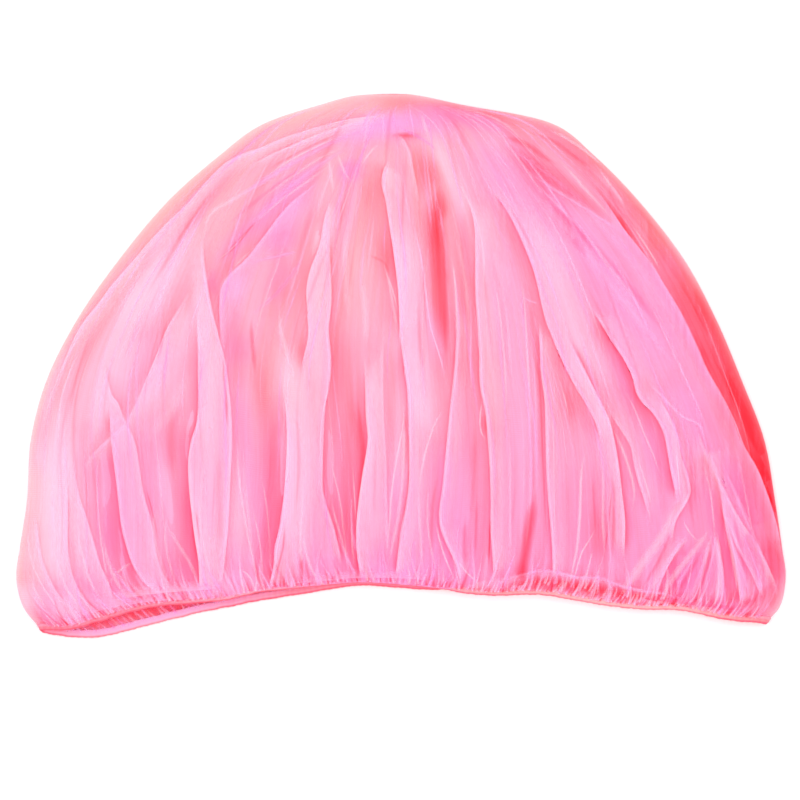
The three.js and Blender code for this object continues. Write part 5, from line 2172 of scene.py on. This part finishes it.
@dataclass(frozen=True)
class TulleFinish:
    """Sheer knitted tulle: what its yarn throws back, and what one layer lets through.

    Where the cloth's sheen is high it lies open and pale, partly as a painted highlight; where its
    bloom is high it throws back a deeper lilac; and where its pile is high it is a deeper
    coral, partly where many layers lie on one another and partly as painted shade in hollows and
    beside folds.
    """

    pale: Colour = (1.0, 0.8, 0.93)
    bloom: Colour = (1.0, 0.36, 0.86)
    tint: Colour = (0.995, 0.85, 0.82)
    # the coral that each unit of pile lets through: the layers, and painted shade
    pile_and_shade_tint: Colour = (0.985, 0.575, 0.61)
    cover: float = 0.05
    sheen_cover: float = 1.4
    bloom_cover: float = 1.0
    # how much barer the cloth is where its pile is high, partly as painted shade
    pile_and_shade_bare: float = 0.8
    streaks: float = 0.6
    glow: float = 0.45
    cell: float = 0.0016

    def make(self) -> bpy.types.Material:
        """Builds the material.

        Returns:
            The tulle's material.
        """
        shading = Shading("tulle")
        streak = self._streaks(shading)
        sheen, bloom, pile = (self._varied(shading, name, streak, share) for name, share in
                              (("sheen", 1.0), ("bloom", 1.0), ("pile", -0.6)))
        ground = shading.attribute("ground")
        pale = shading.times(sheen, self.sheen_cover)
        deep = shading.times(bloom, self.bloom_cover)
        dressed = shading.plus(pale, deep)
        both = shading.plus(dressed, shading.times(ground, self.cover))
        both = shading.times(both, self._knit(shading))
        # painted shade, with the layers: the cloth is barer where its pile is high
        both = shading.math("DIVIDE", both, shading.plus(1.0, shading.times(
            pile, self.pile_and_shade_bare)))
        clear = shading.math("EXPONENT", shading.times(both, -1.0))
        cover = shading.math("SUBTRACT", 1.0, clear, clamp=True)
        share = shading.math("DIVIDE", deep, shading.math("MAXIMUM", dressed, 0.01), clamp=True)
        colour = shading.blend(share, (*self.pale, 1), self.bloom)
        # what shows through is tinted deeper coral by pile: the layers, and painted shade
        tint = shading.node("ShaderNodeCombineColor", {
            number: shading.times(shading.math("POWER", one, ground),
                                  shading.math("POWER", many, pile))
            for number, (one, many) in enumerate(zip(self.tint, self.pile_and_shade_tint))})
        open_part = shading.node("ShaderNodeBsdfTransparent", {0: tint})
        yarn = shading.node("ShaderNodeBsdfPrincipled", {
            "Base Color": colour, "Roughness": 0.75, "Specular IOR Level": 0.15})
        glow = shading.node("ShaderNodeBsdfTranslucent", {0: colour})
        body = shading.mixed(self.glow, yarn, glow)
        return shading.finish(shading.mixed(cover, open_part, body))

    def _streaks(self, shading: Shading) -> bpy.types.NodeSocket:
        """Draws the finest gathers, long and narrow along the cloth's fall, about 0."""
        fine = shading.noise(shading.uv("gather", (260, 5, 1)), 0.6)
        return shading.times(fine, self.streaks)

    @staticmethod
    def _varied(shading: Shading, name: str, streak: bpy.types.NodeSocket,
                share: float) -> bpy.types.NodeSocket:
        """Reads an attribute of the cloth and varies it with the finest gathers.

        Args:
            shading: The material's nodes.
            name: The attribute.
            streak: The finest gathers.
            share: How strongly they vary it.

        Returns:
            The varied value, never below 0.
        """
        value = shading.attribute(name)
        change = shading.times(shading.times(streak, share), shading.plus(value, 0.15))
        return shading.math("MAXIMUM", shading.plus(value, change), 0.0)

    def _knit(self, shading: Shading) -> bpy.types.NodeSocket:
        """Draws the fine holes of the knit, as a share that is lower in them."""
        cells = shading.node("ShaderNodeTexVoronoi", {
            "Vector": shading.uv("knit", (1, 0.8, 1)), "Scale": 1 / self.cell,
            "Randomness": 0.25,
        }, out="Distance", feature="DISTANCE_TO_EDGE", voronoi_dimensions="2D")
        return shading.node("ShaderNodeMapRange", {
            "Value": cells, "From Min": 0.05, "From Max": 0.4, "To Min": 1.35, "To Max": 0.8})


@dataclass(frozen=True)
class BindingFinish:
    """The strip over the elastic: several layers of the tulle, ribbed along its length. Its deep
    tone is partly painted shade, and its pale one partly painted highlight.
    """

    plain: Colour = (0.95, 0.42, 0.44)
    deep: Colour = (0.86, 0.085, 0.15)
    pale: Colour = (0.93, 0.37, 0.62)
    ribs: float = 0.9
    relief: float = 0.25

    def make(self) -> bpy.types.Material:
        """Builds the material.

        Returns:
            The strip's material.
        """
        shading = Shading("elastic_strip")
        spots = shading.noise(shading.uv("strip", (420, 700, 1)))
        colour = (*self.plain, 1)
        for name, tone in (("deep", self.deep), ("pale", self.pale)):
            share = shading.math("ADD", shading.attribute(name), shading.times(spots, 0.5),
                                 clamp=True)
            colour = shading.blend(share, colour, tone)
        rib = shading.node("ShaderNodeTexWave", {
            "Vector": shading.uv("strip", (1000 / self.ribs, 200, 1)), "Scale": 0.5,
            "Distortion": 1.5, "Detail": 1.0,
        }, out="Fac", wave_type="BANDS", bands_direction="X")
        bump = shading.node("ShaderNodeBump", {
            "Height": rib, "Strength": self.relief, "Distance": 0.0003})
        return shading.finish(shading.node("ShaderNodeBsdfPrincipled", {
            "Base Color": colour, "Normal": bump, "Specular IOR Level": 0.25,
            "Roughness": shading.plus(0.68, shading.times(spots, 0.3))}))


@dataclass(frozen=True)
class ThreadFinish:
    """The sewing thread, a little glossier than the cloth."""

    colour: Colour = (0.93, 0.36, 0.50)

    def make(self) -> bpy.types.Material:
        """Builds the material.

        Returns:
            The thread's material.
        """
        shading = Shading("thread")
        twist = shading.node("ShaderNodeTexNoise", {
            "Vector": shading.node("ShaderNodeTexCoord", out="Object"), "Scale": 2500},
            out="Fac")
        shade = (*(0.75 * value for value in self.colour), 1)
        return shading.finish(shading.node("ShaderNodeBsdfPrincipled", {
            "Base Color": shading.blend(twist, shade, self.colour),
            "Roughness": 0.5, "Specular IOR Level": 0.4}))


@dataclass(frozen=True)
class FloorFinish:
    """The plain pale surface that the net lies on."""

    colour: Colour = (0.96, 0.96, 0.96)

    def make(self) -> bpy.types.Material:
        """Builds the material."""
        shading = Shading("floor")
        return shading.finish(shading.node("ShaderNodeBsdfPrincipled", {
            "Base Color": (*self.colour, 1), "Roughness": 0.9, "Specular IOR Level": 0.1}))


# ---------- The studio ----------


@dataclass(frozen=True)
class Studio:
    """The floor, the light and the camera straight above the net."""

    centre: Pair = (-0.002, -0.036)
    field: float = 0.824
    lens: float = 300.0
    sensor: float = 36.0
    light: float = 1.3
    key: float = 0.04
    key_size: float = 50
    key_turn: tuple[float, float, float] = (-24, -28, 0)
    bounces: int = 6

    def build(self) -> None:
        """Lays the floor, lights it and sets up the camera."""
        scene = bpy.context.scene
        bpy.ops.mesh.primitive_plane_add(size=12, location=(0, 0, 0))
        floor = bpy.context.object
        floor.name = "floor"
        floor.data.materials.append(FloorFinish().make())
        world = bpy.data.worlds.new("studio")
        world.use_nodes = True
        colour, strength = world.node_tree.nodes["Background"].inputs[:2]
        colour.default_value, strength.default_value = (1, 1, 1, 1), self.light
        scene.world = world
        sun = bpy.data.lights.new("key", "SUN")
        sun.energy = self.key * math.pi
        sun.angle = math.radians(self.key_size)
        placed("key", sun).rotation_euler = [math.radians(turn) for turn in self.key_turn]
        lens = bpy.data.cameras.new("camera")
        lens.lens, lens.sensor_width, lens.clip_end = self.lens, self.sensor, 20
        camera = placed("camera", lens)
        camera.location = (*self.centre, self.field * self.lens / self.sensor)
        scene.camera = camera
        scene.view_settings.view_transform = "Standard"
        scene.cycles.transparent_max_bounces = 64
        scene.cycles.max_bounces = self.bounces + 1
        scene.cycles.diffuse_bounces = scene.cycles.transmission_bounces = self.bounces


# ---------- Building it ----------


def main() -> None:
    """Builds the net and its binding, dresses them and sets up the studio."""
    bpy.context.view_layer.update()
    Studio().build()
    plan, fall = Plan(), Fall()
    tulle = TulleFinish().make()
    cap = Net(plan, fall)
    net = cap.build()
    net.data.materials.append(tulle)
    folds = LaidFolds(plan, fall)
    pleats = folds.build("pleat_layers", folds.pleat_paths(PLEATS), net, tulle)
    lines = LaidFolds(plan, fall, columns=3).build(
        "pinched_lines", folds.line_paths(PLEATS, CREASES, STRANDS), net, tulle)
    for laid in (pleats, lines):
        laid.visible_shadow = False
    for piece in (net, pleats, lines):
        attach(piece, "root")
        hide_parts("net")
        log.info("%s: %d faces", piece.name, len(piece.data.polygons))
    binding = ElasticBinding(plan)
    strip = binding.build(cap)
    strip.data.materials.append(BindingFinish().make())
    stitches = binding.sew(ThreadFinish().make())
    for piece in (strip, stitches):
        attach(piece, "root")
        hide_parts("elastic_binding")
        log.info("%s: %d faces", piece.name, len(piece.data.polygons))


if __name__ == "__main__":
    main()
